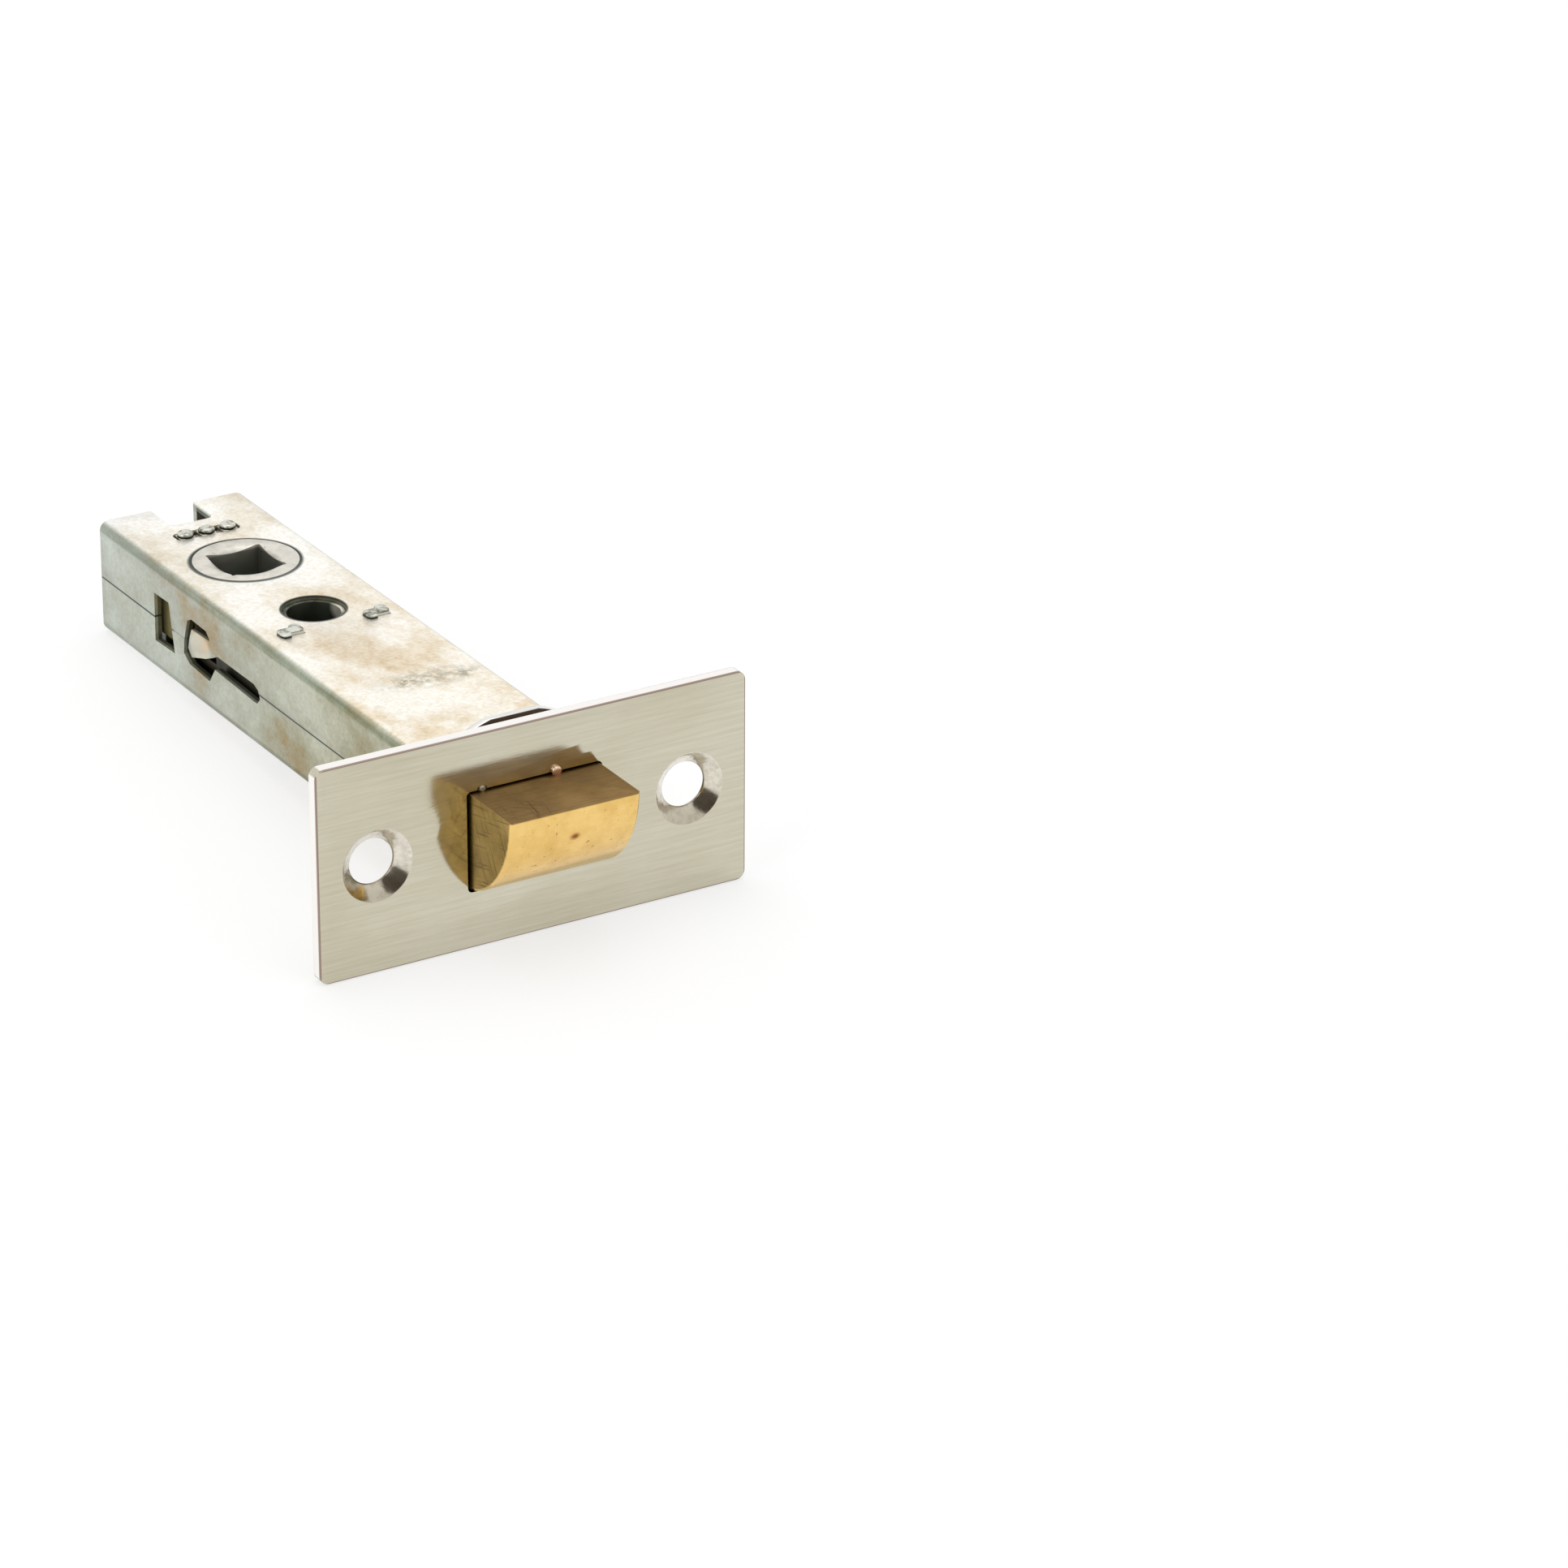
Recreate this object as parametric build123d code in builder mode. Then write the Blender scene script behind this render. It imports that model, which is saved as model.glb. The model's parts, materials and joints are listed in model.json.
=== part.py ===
import math
import os

from build123d import *

# Tubular door latch with a long case and two ways through it for fixing bolts.
# The faceplate lies across the door's edge, the brass latch bolt slides in its slot, and a
# square hole in the follower takes the spindle of the door handles.
# Millimetres. The origin is the middle of the faceplate's front face. X runs along the
# faceplate, Y runs back into the door along the case, Z is the spindle's direction.

# Faceplate
PLATE_LENGTH = 60.0
PLATE_HEIGHT = 28.4
PLATE_THICK = 1.86
PLATE_CORNER = 1.2
SCREW_CENTRES = 43.8
SCREW_HOLE_RADIUS = 3.0
SCREW_SINK_RADIUS = 4.8
SCREW_SINK_DEPTH = 1.6
SLOT_CORNER = 0.6

# Case, pressed from sheet in an upper and a lower shell that meet at mid height
CASE_WIDTH = 21.36
CASE_HEIGHT = 15.7
CASE_REAR = 98.2
SHEET = 1.0
BEND_OUTSIDE = 1.3
BEND_INSIDE = 0.4
SEAM_GAP = 0.06
CASE_INSIDE_X = CASE_WIDTH / 2 - SHEET
CASE_INSIDE_Z = CASE_HEIGHT / 2 - SHEET
CASE_SIDE = CASE_WIDTH / 2
CASE_TOP = CASE_HEIGHT / 2
CASE_CORNER_REACH = math.hypot(CASE_SIDE, CASE_TOP)

# Latch bolt, which runs free in the case, and the faceplate's slot round it
BOLT_CASE_PLAY = 0.35
BOLT_HALF_HEIGHT = CASE_INSIDE_Z - BOLT_CASE_PLAY
BOLT_SIDE_PLAY = 0.58
BOLT_HALF_WIDTH = CASE_INSIDE_X - BOLT_SIDE_PLAY
BOLT_OUT = 10.1
BOLT_REAR = 12.0
BEVEL_BACK = 2.75
BEVEL_DROP = 7.9
BEVEL_MIDDLE = (BEVEL_BACK - BOLT_OUT, BOLT_HALF_HEIGHT - BEVEL_DROP)
BEVEL_END_Y = 0.05
BOLT_EDGE_BREAK = 0.35
SPRING_POCKET_RADIUS = 4.6
SPRING_POCKET_FLOOR = 7.0
STEM_HOLE_FLOOR = 1.6
SLOT_SIDE_PLAY = 0.35
SLOT_HEIGHT_PLAY = 0.23
SLOT_LENGTH = 2 * (BOLT_HALF_WIDTH + SLOT_SIDE_PLAY)
SLOT_HEIGHT = 2 * (BOLT_HALF_HEIGHT + SLOT_HEIGHT_PLAY)

# Lugs at the front of the upper shell, swaged into notches at the edge of the faceplate's slot
LUG_WIDTH = 1.1
LUG_POSITIONS = (-7.3, 3.0)
LUG_BOLT_PLAY = 0.1
LUG_BITE = 0.2
LUG_INNER_Z = BOLT_HALF_HEIGHT + LUG_BOLT_PLAY
LUG_OUTER_Z = CASE_INSIDE_Z + LUG_BITE
LUG_SIDE_PLAY = 0.04

# Collar that centres the latch in its bored hole: round, with a flat above and below
COLLAR_RIM = 0.45
COLLAR_FLAT_DEPTH = 0.45
COLLAR_RADIUS = CASE_CORNER_REACH + COLLAR_RIM
COLLAR_HALF_HEIGHT = COLLAR_RADIUS - COLLAR_FLAT_DEPTH
COLLAR_FRONT = 4.8
COLLAR_THICK = 1.2

# Stations along the case
FOLLOWER_Y = 76.7
FIXING_SPACING = 19.0
THROUGH_Y = FOLLOWER_Y - FIXING_SPACING
REAR_FIXING_Y = FOLLOWER_Y + FIXING_SPACING

# Rear notch for the second fixing bolt, between two walls folded across the case's end
NOTCH_WIDTH = 6.3
NOTCH_FRONT = 92.0
NOTCH_CORNER = 1.0

# Side windows beside the follower
WINDOW_PROFILE = ((82.4, 3.4), (78.2, 3.5), (76.8, -3.2), (82.5, -3.4))

# Hooked tabs of the upper shell that lock over the lower shell, and the slot beside each
TAB_PROFILE = (
    (64.4, 0.95), (65.4, 0.45), (67.8, -0.6), (69.6, -1.15), (71.8, -1.9),
    (72.8, -0.9), (72.3, 0.8), (71.7, 2.1), (66.8, 2.3), (64.4, 2.9),
)
TAB_POCKET_PROFILE = (
    (65.2, -1.2), (66.8, -3.4), (72.5, -3.1), (74.1, -2.1), (74.0, -0.4), (73.3, 1.7),
    (72.9, 2.9), (71.7, 3.5), (67.5, 3.4), (66.6, 2.6), (66.6, 0.0), (65.2, 0.0),
)
SIDE_SLOT_PROFILE = (
    (52.5, -0.5), (53.3, -1.45), (54.2, -1.5), (66.4, -1.15), (66.4, 0.2), (64.3, 0.95),
    (54.2, 1.0), (53.0, 0.5),
)

# Stem behind the bolt, with its cross pin, washer and circlip
STEM_RADIUS = 2.0
STEM_REAR = 32.1
SLIP_FIT = 0.05
PIN_RADIUS = 1.0
PIN_Y = 4.2
PIN_RECESS = 0.3
PIN_HALF_LENGTH = BOLT_HALF_HEIGHT - PIN_RECESS
WASHER_RADIUS = 3.5
WASHER_THICK = 0.8
CLIP_RADIUS = 3.2
CLIP_THICK = 0.6
CLIP_GROOVE_RADIUS = 1.6
CLIP_MOUTH = 2.6

# Draw gear: a crosshead and two side plates that the follower pulls back
CROSSHEAD_FRONT = 27.0
CROSSHEAD_THICK = 3.0
CROSSHEAD_PLAY = 0.35
CROSSHEAD_HALF_HEIGHT = CASE_INSIDE_Z - CROSSHEAD_PLAY
DRAW_THICK = 1.5
DRAW_SIDE_PLAY = 0.38
DRAW_OUTER_X = CASE_INSIDE_X - DRAW_SIDE_PLAY
DRAW_INNER_X = DRAW_OUTER_X - DRAW_THICK
DRAW_HALF_HEIGHT = 2.8
DRAW_REAR = 84.0
EAR_BEND = 0.5
EAR_INNER_X = DRAW_INNER_X - EAR_BEND
EAR_THICK = 1.5
ARM_PLAY = 0.22
DRAW_WINDOW_LENGTH = 5.4
DRAW_WINDOW_HALF_HEIGHT = 1.6
RIVET_RADIUS = 1.0
RIVET_GRIP = 2.2
RIVET_INNER_X = DRAW_INNER_X - RIVET_GRIP

# Follower
SPINDLE_SQUARE = 7.9
LEAD_RADIUS = 5.2
LEAD_DEPTH = 0.8
JOURNAL_RADIUS = 7.05
JOURNAL_PLAY = 0.1
FLANGE_RADIUS = 8.2
FLANGE_PLAY = 0.2
FLANGE_OUTER_Z = CASE_INSIDE_Z - FLANGE_PLAY
FLANGE_INNER_Z = 3.2
HUB_RADIUS = 6.35
ARM_SIDE_PLAY = 0.28
ARM_TIP_RADIUS = 1.05
ARM_CENTRE_RADIUS = CASE_INSIDE_X - ARM_SIDE_PLAY - ARM_TIP_RADIUS
ARM_HALF_HEIGHT = 1.3
ARM_REST_ANGLE = 37.5

# Springs
BOLT_SPRING_WIRE = 0.8
BOLT_SPRING_RADIUS = 3.6
BOLT_SPRING_TURNS = 6
RETURN_SPRING_WIRE = 1.3
RETURN_SPRING_RADIUS = 5.2
RETURN_SPRING_TURNS = 5
CHORDS_PER_TURN = 11

# Bush that carries the front fixing bolt through the case
CASE_THROUGH_RADIUS = 4.15
BUSH_BORE_RADIUS = 3.5
BUSH_RADIUS = 4.6
BUSH_NECK_RADIUS = CASE_THROUGH_RADIUS - SLIP_FIT
BUSH_NECK_RISE = 0.55

# Spring wall with its staked lugs, just in front of the bush, and the seat before it
WALL_THICK = 1.4
WALL_BUSH_PLAY = 0.4
WALL_FRONT = THROUGH_Y - BUSH_RADIUS - WALL_BUSH_PLAY - WALL_THICK
WALL_SIDE_PLAY = 0.28
WALL_HALF_WIDTH = CASE_INSIDE_X - WALL_SIDE_PLAY
WALL_HOLE_RADIUS = 3.9
WALL_NOTCH_PLAY = 0.3
WALL_NOTCH_X = DRAW_INNER_X - WALL_NOTCH_PLAY
WALL_NOTCH_HALF_HEIGHT = DRAW_HALF_HEIGHT + WALL_NOTCH_PLAY
STAKE_X = 6.2
STAKE_LENGTH = 3.2
STAKE_WIDTH = 1.4
STAKE_PLAY = 0.06
STAKE_RISE = 0.25
SEAT_PLAY = 0.45
SEAT_RADIUS = CASE_INSIDE_Z - SEAT_PLAY
SEAT_THICK = 1.0

# Rear spacer
SPACER_Y = 88.0
SPACER_THICK = 1.5
SPACER_HALF_WIDTH = 6.2
SPACER_LUG_LENGTH = 8.8
SPACER_SLOT_PLAY = 0.25
SPACER_SLOT_LENGTH = SPACER_LUG_LENGTH + 2 * SPACER_SLOT_PLAY
SPACER_SLOT_WIDTH = 2.5
SPACER_BUMP_LENGTH = 2.2
SPACER_BUMP_WIDTH = 2.1
SPACER_BUMP_SPACING = 3.1


def across(y):
    """The upright plane across the latch at a distance y behind the faceplate's front."""
    return Plane.XZ.offset(-y)


def coil(start, length, radius, turns):
    """Points along a spring's wire, round the latch's own axis."""
    steps = turns * CHORDS_PER_TURN
    points = []
    for step in range(steps + 1):
        angle = 2 * math.pi * step / CHORDS_PER_TURN
        points.append((radius * math.cos(angle), start + length * step / steps,
                       radius * math.sin(angle)))
    return points


ear_front = (
    FOLLOWER_Y
    - ARM_CENTRE_RADIUS * math.sin(math.radians(ARM_REST_ANGLE))
    + ARM_TIP_RADIUS
    + ARM_PLAY
)
crosshead_rear = CROSSHEAD_FRONT + CROSSHEAD_THICK
seat_front = WALL_FRONT - SEAT_THICK

# Faceplate: a flat plate with a slot for the bolt, two countersunk holes and two notches
# for the upper shell's lugs.
with BuildPart() as faceplate:
    with BuildSketch(across(0)):
        RectangleRounded(PLATE_LENGTH, PLATE_HEIGHT, PLATE_CORNER)
        RectangleRounded(SLOT_LENGTH, SLOT_HEIGHT, SLOT_CORNER, mode=Mode.SUBTRACT)
        with Locations((-SCREW_CENTRES / 2, 0), (SCREW_CENTRES / 2, 0)):
            Circle(SCREW_HOLE_RADIUS, mode=Mode.SUBTRACT)
        for x in LUG_POSITIONS:
            with Locations((x, (LUG_OUTER_Z + LUG_SIDE_PLAY) / 2)):
                Rectangle(LUG_WIDTH + 2 * LUG_SIDE_PLAY, LUG_OUTER_Z + LUG_SIDE_PLAY,
                          mode=Mode.SUBTRACT)
    extrude(amount=-PLATE_THICK)
    for x in (-SCREW_CENTRES / 2, SCREW_CENTRES / 2):
        with BuildSketch(Plane.XY):
            with BuildLine():
                Polyline((x, 0), (x + SCREW_SINK_RADIUS, 0),
                         (x + SCREW_HOLE_RADIUS, SCREW_SINK_DEPTH), (x, SCREW_SINK_DEPTH),
                         close=True)
            make_face()
        revolve(axis=Axis((x, 0, 0), (0, 1, 0)), mode=Mode.SUBTRACT)
faceplate.part.label = "faceplate"

# The two shells are the same pressing apart from the hooked tabs and the pocket they
# drop into, so both are cut from the same tube with the same cutters.
case_length = CASE_REAR - PLATE_THICK
mirror_sides = (-1, 1)

with BuildPart() as case_tube:
    with BuildSketch(across(PLATE_THICK)):
        RectangleRounded(CASE_WIDTH, CASE_HEIGHT, BEND_OUTSIDE)
        RectangleRounded(2 * CASE_INSIDE_X, 2 * CASE_INSIDE_Z, BEND_INSIDE, mode=Mode.SUBTRACT)
    extrude(amount=-case_length)
    # Walls folded across the rear end, one each side of the notch
    for side in mirror_sides:
        with BuildSketch(across(CASE_REAR - SHEET)):
            with Locations((side * (NOTCH_WIDTH / 2 + CASE_INSIDE_X) / 2, 0)):
                Rectangle(CASE_INSIDE_X - NOTCH_WIDTH / 2, 2 * CASE_INSIDE_Z)
        extrude(amount=-SHEET)
    # Bearing holes for the follower, holes for the front fixing bolt and the rear notch
    with BuildSketch(Plane.XY.offset(-CASE_HEIGHT)):
        with Locations((0, FOLLOWER_Y)):
            Circle(JOURNAL_RADIUS + JOURNAL_PLAY)
        with Locations((0, THROUGH_Y)):
            Circle(CASE_THROUGH_RADIUS)
        with Locations((0, NOTCH_FRONT + CASE_REAR / 2)):
            RectangleRounded(NOTCH_WIDTH, CASE_REAR, NOTCH_CORNER)
    extrude(amount=2 * CASE_HEIGHT, mode=Mode.SUBTRACT)
    # Slots for the staked lugs of the spring wall and of the rear spacer
    with BuildSketch(Plane.XY.offset(-CASE_HEIGHT)):
        for side in mirror_sides:
            with Locations((side * STAKE_X, WALL_FRONT + WALL_THICK / 2)):
                Rectangle(STAKE_LENGTH + 2 * STAKE_PLAY, STAKE_WIDTH + 2 * STAKE_PLAY)
        with Locations((0, SPACER_Y)):
            RectangleRounded(SPACER_SLOT_LENGTH, SPACER_SLOT_WIDTH, SPACER_SLOT_WIDTH / 3)
    extrude(amount=2 * CASE_HEIGHT, mode=Mode.SUBTRACT)
    # Windows and long slots along both sides
    with BuildSketch(Plane.YZ.offset(-CASE_WIDTH)):
        with BuildLine():
            Polyline(*WINDOW_PROFILE, close=True)
        make_face()
        with BuildLine():
            Polyline(*SIDE_SLOT_PROFILE, close=True)
        make_face()
        with BuildLine():
            Polyline(*TAB_POCKET_PROFILE, close=True)
        make_face()
    extrude(amount=2 * CASE_WIDTH, mode=Mode.SUBTRACT)

# Upper shell: the top half of the tube with a hooked tab at each side and two lugs that go
# forward into the faceplate.
with BuildPart() as upper_case:
    add(case_tube.part)
    with BuildSketch(Plane.XY.offset(SEAM_GAP / 2)):
        with Locations((0, CASE_REAR / 2)):
            Rectangle(2 * CASE_WIDTH, 2 * CASE_REAR)
    extrude(amount=-CASE_HEIGHT, mode=Mode.SUBTRACT)
    for side in mirror_sides:
        with BuildSketch(Plane.YZ.offset(side * (CASE_SIDE - SHEET / 2))):
            with BuildLine():
                Polyline(*TAB_PROFILE, close=True)
            make_face()
        extrude(amount=SHEET / 2, both=True)
    for x in LUG_POSITIONS:
        with BuildSketch(across(0)):
            with Locations((x, (LUG_INNER_Z + LUG_OUTER_Z) / 2)):
                Rectangle(LUG_WIDTH, LUG_OUTER_Z - LUG_INNER_Z)
        extrude(amount=-(PLATE_THICK + SHEET))
upper_case.part.label = "upper_case"

# Lower shell: the bottom half of the same tube.
with BuildPart() as lower_case:
    add(case_tube.part)
    with BuildSketch(Plane.XY.offset(-SEAM_GAP / 2)):
        with Locations((0, CASE_REAR / 2)):
            Rectangle(2 * CASE_WIDTH, 2 * CASE_REAR)
    extrude(amount=CASE_HEIGHT, mode=Mode.SUBTRACT)
lower_case.part.label = "lower_case"

# Collar round the front of the case, its flats in line with the plate's long edges.
with BuildPart() as bore_collar:
    with BuildSketch(across(COLLAR_FRONT)):
        Circle(COLLAR_RADIUS)
        Rectangle(2 * COLLAR_RADIUS, 2 * COLLAR_HALF_HEIGHT, mode=Mode.INTERSECT)
        RectangleRounded(CASE_WIDTH, CASE_HEIGHT, BEND_OUTSIDE, mode=Mode.SUBTRACT)
    extrude(amount=-COLLAR_THICK)
bore_collar.part.label = "bore_collar"

# Latch bolt: a brass block, flat on top, rounded away below so that the closing door
# pushes it in. A pocket at the back takes the spring and the stem.
with BuildPart() as latch_bolt:
    with BuildSketch(Plane.YZ.offset(-BOLT_HALF_WIDTH)):
        with BuildLine():
            Line((BOLT_REAR, -BOLT_HALF_HEIGHT), (BOLT_REAR, BOLT_HALF_HEIGHT))
            Line((BOLT_REAR, BOLT_HALF_HEIGHT), (-BOLT_OUT, BOLT_HALF_HEIGHT))
            ThreePointArc((-BOLT_OUT, BOLT_HALF_HEIGHT), BEVEL_MIDDLE,
                          (BEVEL_END_Y, -BOLT_HALF_HEIGHT))
            Line((BEVEL_END_Y, -BOLT_HALF_HEIGHT), (BOLT_REAR, -BOLT_HALF_HEIGHT))
        make_face()
    extrude(amount=2 * BOLT_HALF_WIDTH)
    end_edges = latch_bolt.faces().filter_by(Axis.X).edges().filter_by(GeomType.CIRCLE)
    chamfer(end_edges, length=BOLT_EDGE_BREAK)
    with BuildSketch(across(BOLT_REAR)):
        Circle(SPRING_POCKET_RADIUS)
    extrude(amount=BOLT_REAR - SPRING_POCKET_FLOOR, mode=Mode.SUBTRACT)
    with BuildSketch(across(BOLT_REAR)):
        Circle(STEM_RADIUS + SLIP_FIT)
    extrude(amount=BOLT_REAR - STEM_HOLE_FLOOR, mode=Mode.SUBTRACT)
    with BuildSketch(Plane.XY.offset(-BOLT_HALF_HEIGHT)):
        with Locations((0, PIN_Y)):
            Circle(PIN_RADIUS + SLIP_FIT)
    extrude(amount=2 * BOLT_HALF_HEIGHT, mode=Mode.SUBTRACT)
latch_bolt.part.label = "latch_bolt"

# Stem: a steel rod pinned in the bolt, with a groove for the circlip near its end.
clip_front = crosshead_rear + WASHER_THICK
with BuildPart() as bolt_stem:
    with BuildSketch(across(STEM_HOLE_FLOOR)):
        Circle(STEM_RADIUS)
    extrude(amount=-(STEM_REAR - STEM_HOLE_FLOOR))
    with BuildSketch(across(clip_front)):
        Circle(STEM_RADIUS)
        Circle(CLIP_GROOVE_RADIUS, mode=Mode.SUBTRACT)
    extrude(amount=-CLIP_THICK, mode=Mode.SUBTRACT)
    with BuildSketch(Plane.XY.offset(-BOLT_HALF_HEIGHT)):
        with Locations((0, PIN_Y)):
            Circle(PIN_RADIUS + SLIP_FIT)
    extrude(amount=2 * BOLT_HALF_HEIGHT, mode=Mode.SUBTRACT)
bolt_stem.part.label = "bolt_stem"

# Cross pin that holds the stem in the bolt.
with BuildPart() as stem_pin:
    with BuildSketch(Plane.XY.offset(-PIN_HALF_LENGTH)):
        with Locations((0, PIN_Y)):
            Circle(PIN_RADIUS)
    extrude(amount=2 * PIN_HALF_LENGTH)
stem_pin.part.label = "stem_pin"

# Washer behind the crosshead.
with BuildPart() as stem_washer:
    with BuildSketch(across(crosshead_rear)):
        Circle(WASHER_RADIUS)
        Circle(STEM_RADIUS + SLIP_FIT, mode=Mode.SUBTRACT)
    extrude(amount=-WASHER_THICK)
stem_washer.part.label = "stem_washer"

# Circlip in the stem's groove, open on one side.
with BuildPart() as stem_circlip:
    with BuildSketch(across(clip_front)):
        Circle(CLIP_RADIUS)
        Circle(CLIP_GROOVE_RADIUS + SLIP_FIT, mode=Mode.SUBTRACT)
        with Locations((0, -CLIP_RADIUS)):
            Rectangle(CLIP_MOUTH, 2 * CLIP_RADIUS, mode=Mode.SUBTRACT)
    extrude(amount=-CLIP_THICK)
stem_circlip.part.label = "stem_circlip"

# Light spring that throws the bolt out when the door closes.
bolt_spring_start = SPRING_POCKET_FLOOR + BOLT_SPRING_WIRE / 2
bolt_spring_length = CROSSHEAD_FRONT - SPRING_POCKET_FLOOR - BOLT_SPRING_WIRE
with BuildPart() as bolt_spring:
    with BuildLine() as bolt_spring_path:
        Polyline(*coil(bolt_spring_start, bolt_spring_length, BOLT_SPRING_RADIUS,
                       BOLT_SPRING_TURNS))
    with BuildSketch(Plane(bolt_spring_path.line @ 0, z_dir=bolt_spring_path.line % 0)):
        RegularPolygon(BOLT_SPRING_WIRE / 2, 6)
    sweep(transition=Transition.RIGHT)
bolt_spring.part.label = "bolt_spring"

# Crosshead: the stem slides through it, and the side plates are riveted to its ends.
rivet_spot = (CROSSHEAD_FRONT + CROSSHEAD_THICK / 2, 0)
with BuildPart() as crosshead:
    with BuildSketch(across(CROSSHEAD_FRONT)):
        Rectangle(2 * DRAW_INNER_X, 2 * CROSSHEAD_HALF_HEIGHT)
        Circle(STEM_RADIUS + SLIP_FIT, mode=Mode.SUBTRACT)
    extrude(amount=-CROSSHEAD_THICK)
    for side in mirror_sides:
        with BuildSketch(Plane.YZ.offset(side * DRAW_INNER_X)):
            with Locations(rivet_spot):
                Circle(RIVET_RADIUS)
        extrude(amount=-side * (DRAW_INNER_X - RIVET_INNER_X), mode=Mode.SUBTRACT)
crosshead.part.label = "crosshead"


def draw_plate(side):
    """One side plate: a long strip with a window for the follower's arm and a bent ear."""
    with BuildPart() as plate:
        with BuildSketch(Plane.YZ.offset(side * (DRAW_INNER_X + DRAW_OUTER_X) / 2)):
            with Locations(((CROSSHEAD_FRONT + DRAW_REAR) / 2, 0)):
                Rectangle(DRAW_REAR - CROSSHEAD_FRONT, 2 * DRAW_HALF_HEIGHT)
            with Locations((ear_front - DRAW_WINDOW_LENGTH / 2, 0)):
                Rectangle(DRAW_WINDOW_LENGTH, 2 * DRAW_WINDOW_HALF_HEIGHT, mode=Mode.SUBTRACT)
            with Locations(rivet_spot):
                Circle(RIVET_RADIUS, mode=Mode.SUBTRACT)
        extrude(amount=(DRAW_OUTER_X - DRAW_INNER_X) / 2, both=True)
        with BuildSketch(across(ear_front)):
            with Locations((side * (EAR_INNER_X + DRAW_INNER_X) / 2, 0)):
                Rectangle(DRAW_INNER_X - EAR_INNER_X, 2 * DRAW_HALF_HEIGHT)
        extrude(amount=-EAR_THICK)
    return plate.part


left_draw_plate = draw_plate(-1)
left_draw_plate.label = "left_draw_plate"
right_draw_plate = draw_plate(1)
right_draw_plate.label = "right_draw_plate"

# Two rivets that hold the side plates to the crosshead.
with BuildPart() as draw_rivets:
    for side in mirror_sides:
        with BuildSketch(Plane.YZ.offset(side * DRAW_OUTER_X)):
            with Locations(rivet_spot):
                Circle(RIVET_RADIUS)
        extrude(amount=-side * (DRAW_OUTER_X - RIVET_INNER_X))
draw_rivets.part.label = "draw_rivets"

# Strong spring that brings the draw gear and the handles back.
return_spring_start = crosshead_rear + RETURN_SPRING_WIRE / 2
return_spring_length = seat_front - crosshead_rear - RETURN_SPRING_WIRE
with BuildPart() as return_spring:
    with BuildLine() as return_spring_path:
        Polyline(*coil(return_spring_start, return_spring_length, RETURN_SPRING_RADIUS,
                       RETURN_SPRING_TURNS))
    with BuildSketch(Plane(return_spring_path.line @ 0, z_dir=return_spring_path.line % 0)):
        RegularPolygon(RETURN_SPRING_WIRE / 2, 6)
    sweep(transition=Transition.RIGHT)
return_spring.part.label = "return_spring"

# Seat washer between the strong spring and the spring wall.
with BuildPart() as spring_seat:
    with BuildSketch(across(seat_front)):
        Circle(SEAT_RADIUS)
        Circle(WALL_HOLE_RADIUS, mode=Mode.SUBTRACT)
    extrude(amount=-SEAT_THICK)
spring_seat.part.label = "spring_seat"

# Spring wall: a stamped cross wall whose lugs are staked in both shells.
with BuildPart() as spring_wall:
    with BuildSketch(across(WALL_FRONT)):
        Rectangle(2 * WALL_HALF_WIDTH, 2 * CASE_INSIDE_Z)
        for side in mirror_sides:
            with Locations((side * STAKE_X, 0)):
                Rectangle(STAKE_LENGTH, 2 * (CASE_TOP + STAKE_RISE))
        for side in mirror_sides:
            with Locations((side * (WALL_NOTCH_X + WALL_HALF_WIDTH) / 2, 0)):
                Rectangle(WALL_HALF_WIDTH - WALL_NOTCH_X, 2 * WALL_NOTCH_HALF_HEIGHT,
                          mode=Mode.SUBTRACT)
        Circle(WALL_HOLE_RADIUS, mode=Mode.SUBTRACT)
    extrude(amount=-WALL_THICK)
spring_wall.part.label = "spring_wall"

# Bush round the front fixing bolt, its necks resting in the shells' holes.
with BuildPart() as through_bush:
    with BuildSketch(Plane.XY.offset(-CASE_INSIDE_Z)):
        with Locations((0, THROUGH_Y)):
            Circle(BUSH_RADIUS)
    extrude(amount=2 * CASE_INSIDE_Z)
    with BuildSketch(Plane.XY.offset(-CASE_INSIDE_Z - BUSH_NECK_RISE)):
        with Locations((0, THROUGH_Y)):
            Circle(BUSH_NECK_RADIUS)
    extrude(amount=2 * (CASE_INSIDE_Z + BUSH_NECK_RISE))
    with BuildSketch(Plane.XY.offset(-CASE_HEIGHT)):
        with Locations((0, THROUGH_Y)):
            Circle(BUSH_BORE_RADIUS)
    extrude(amount=2 * CASE_HEIGHT, mode=Mode.SUBTRACT)
through_bush.part.label = "through_bush"

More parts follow.
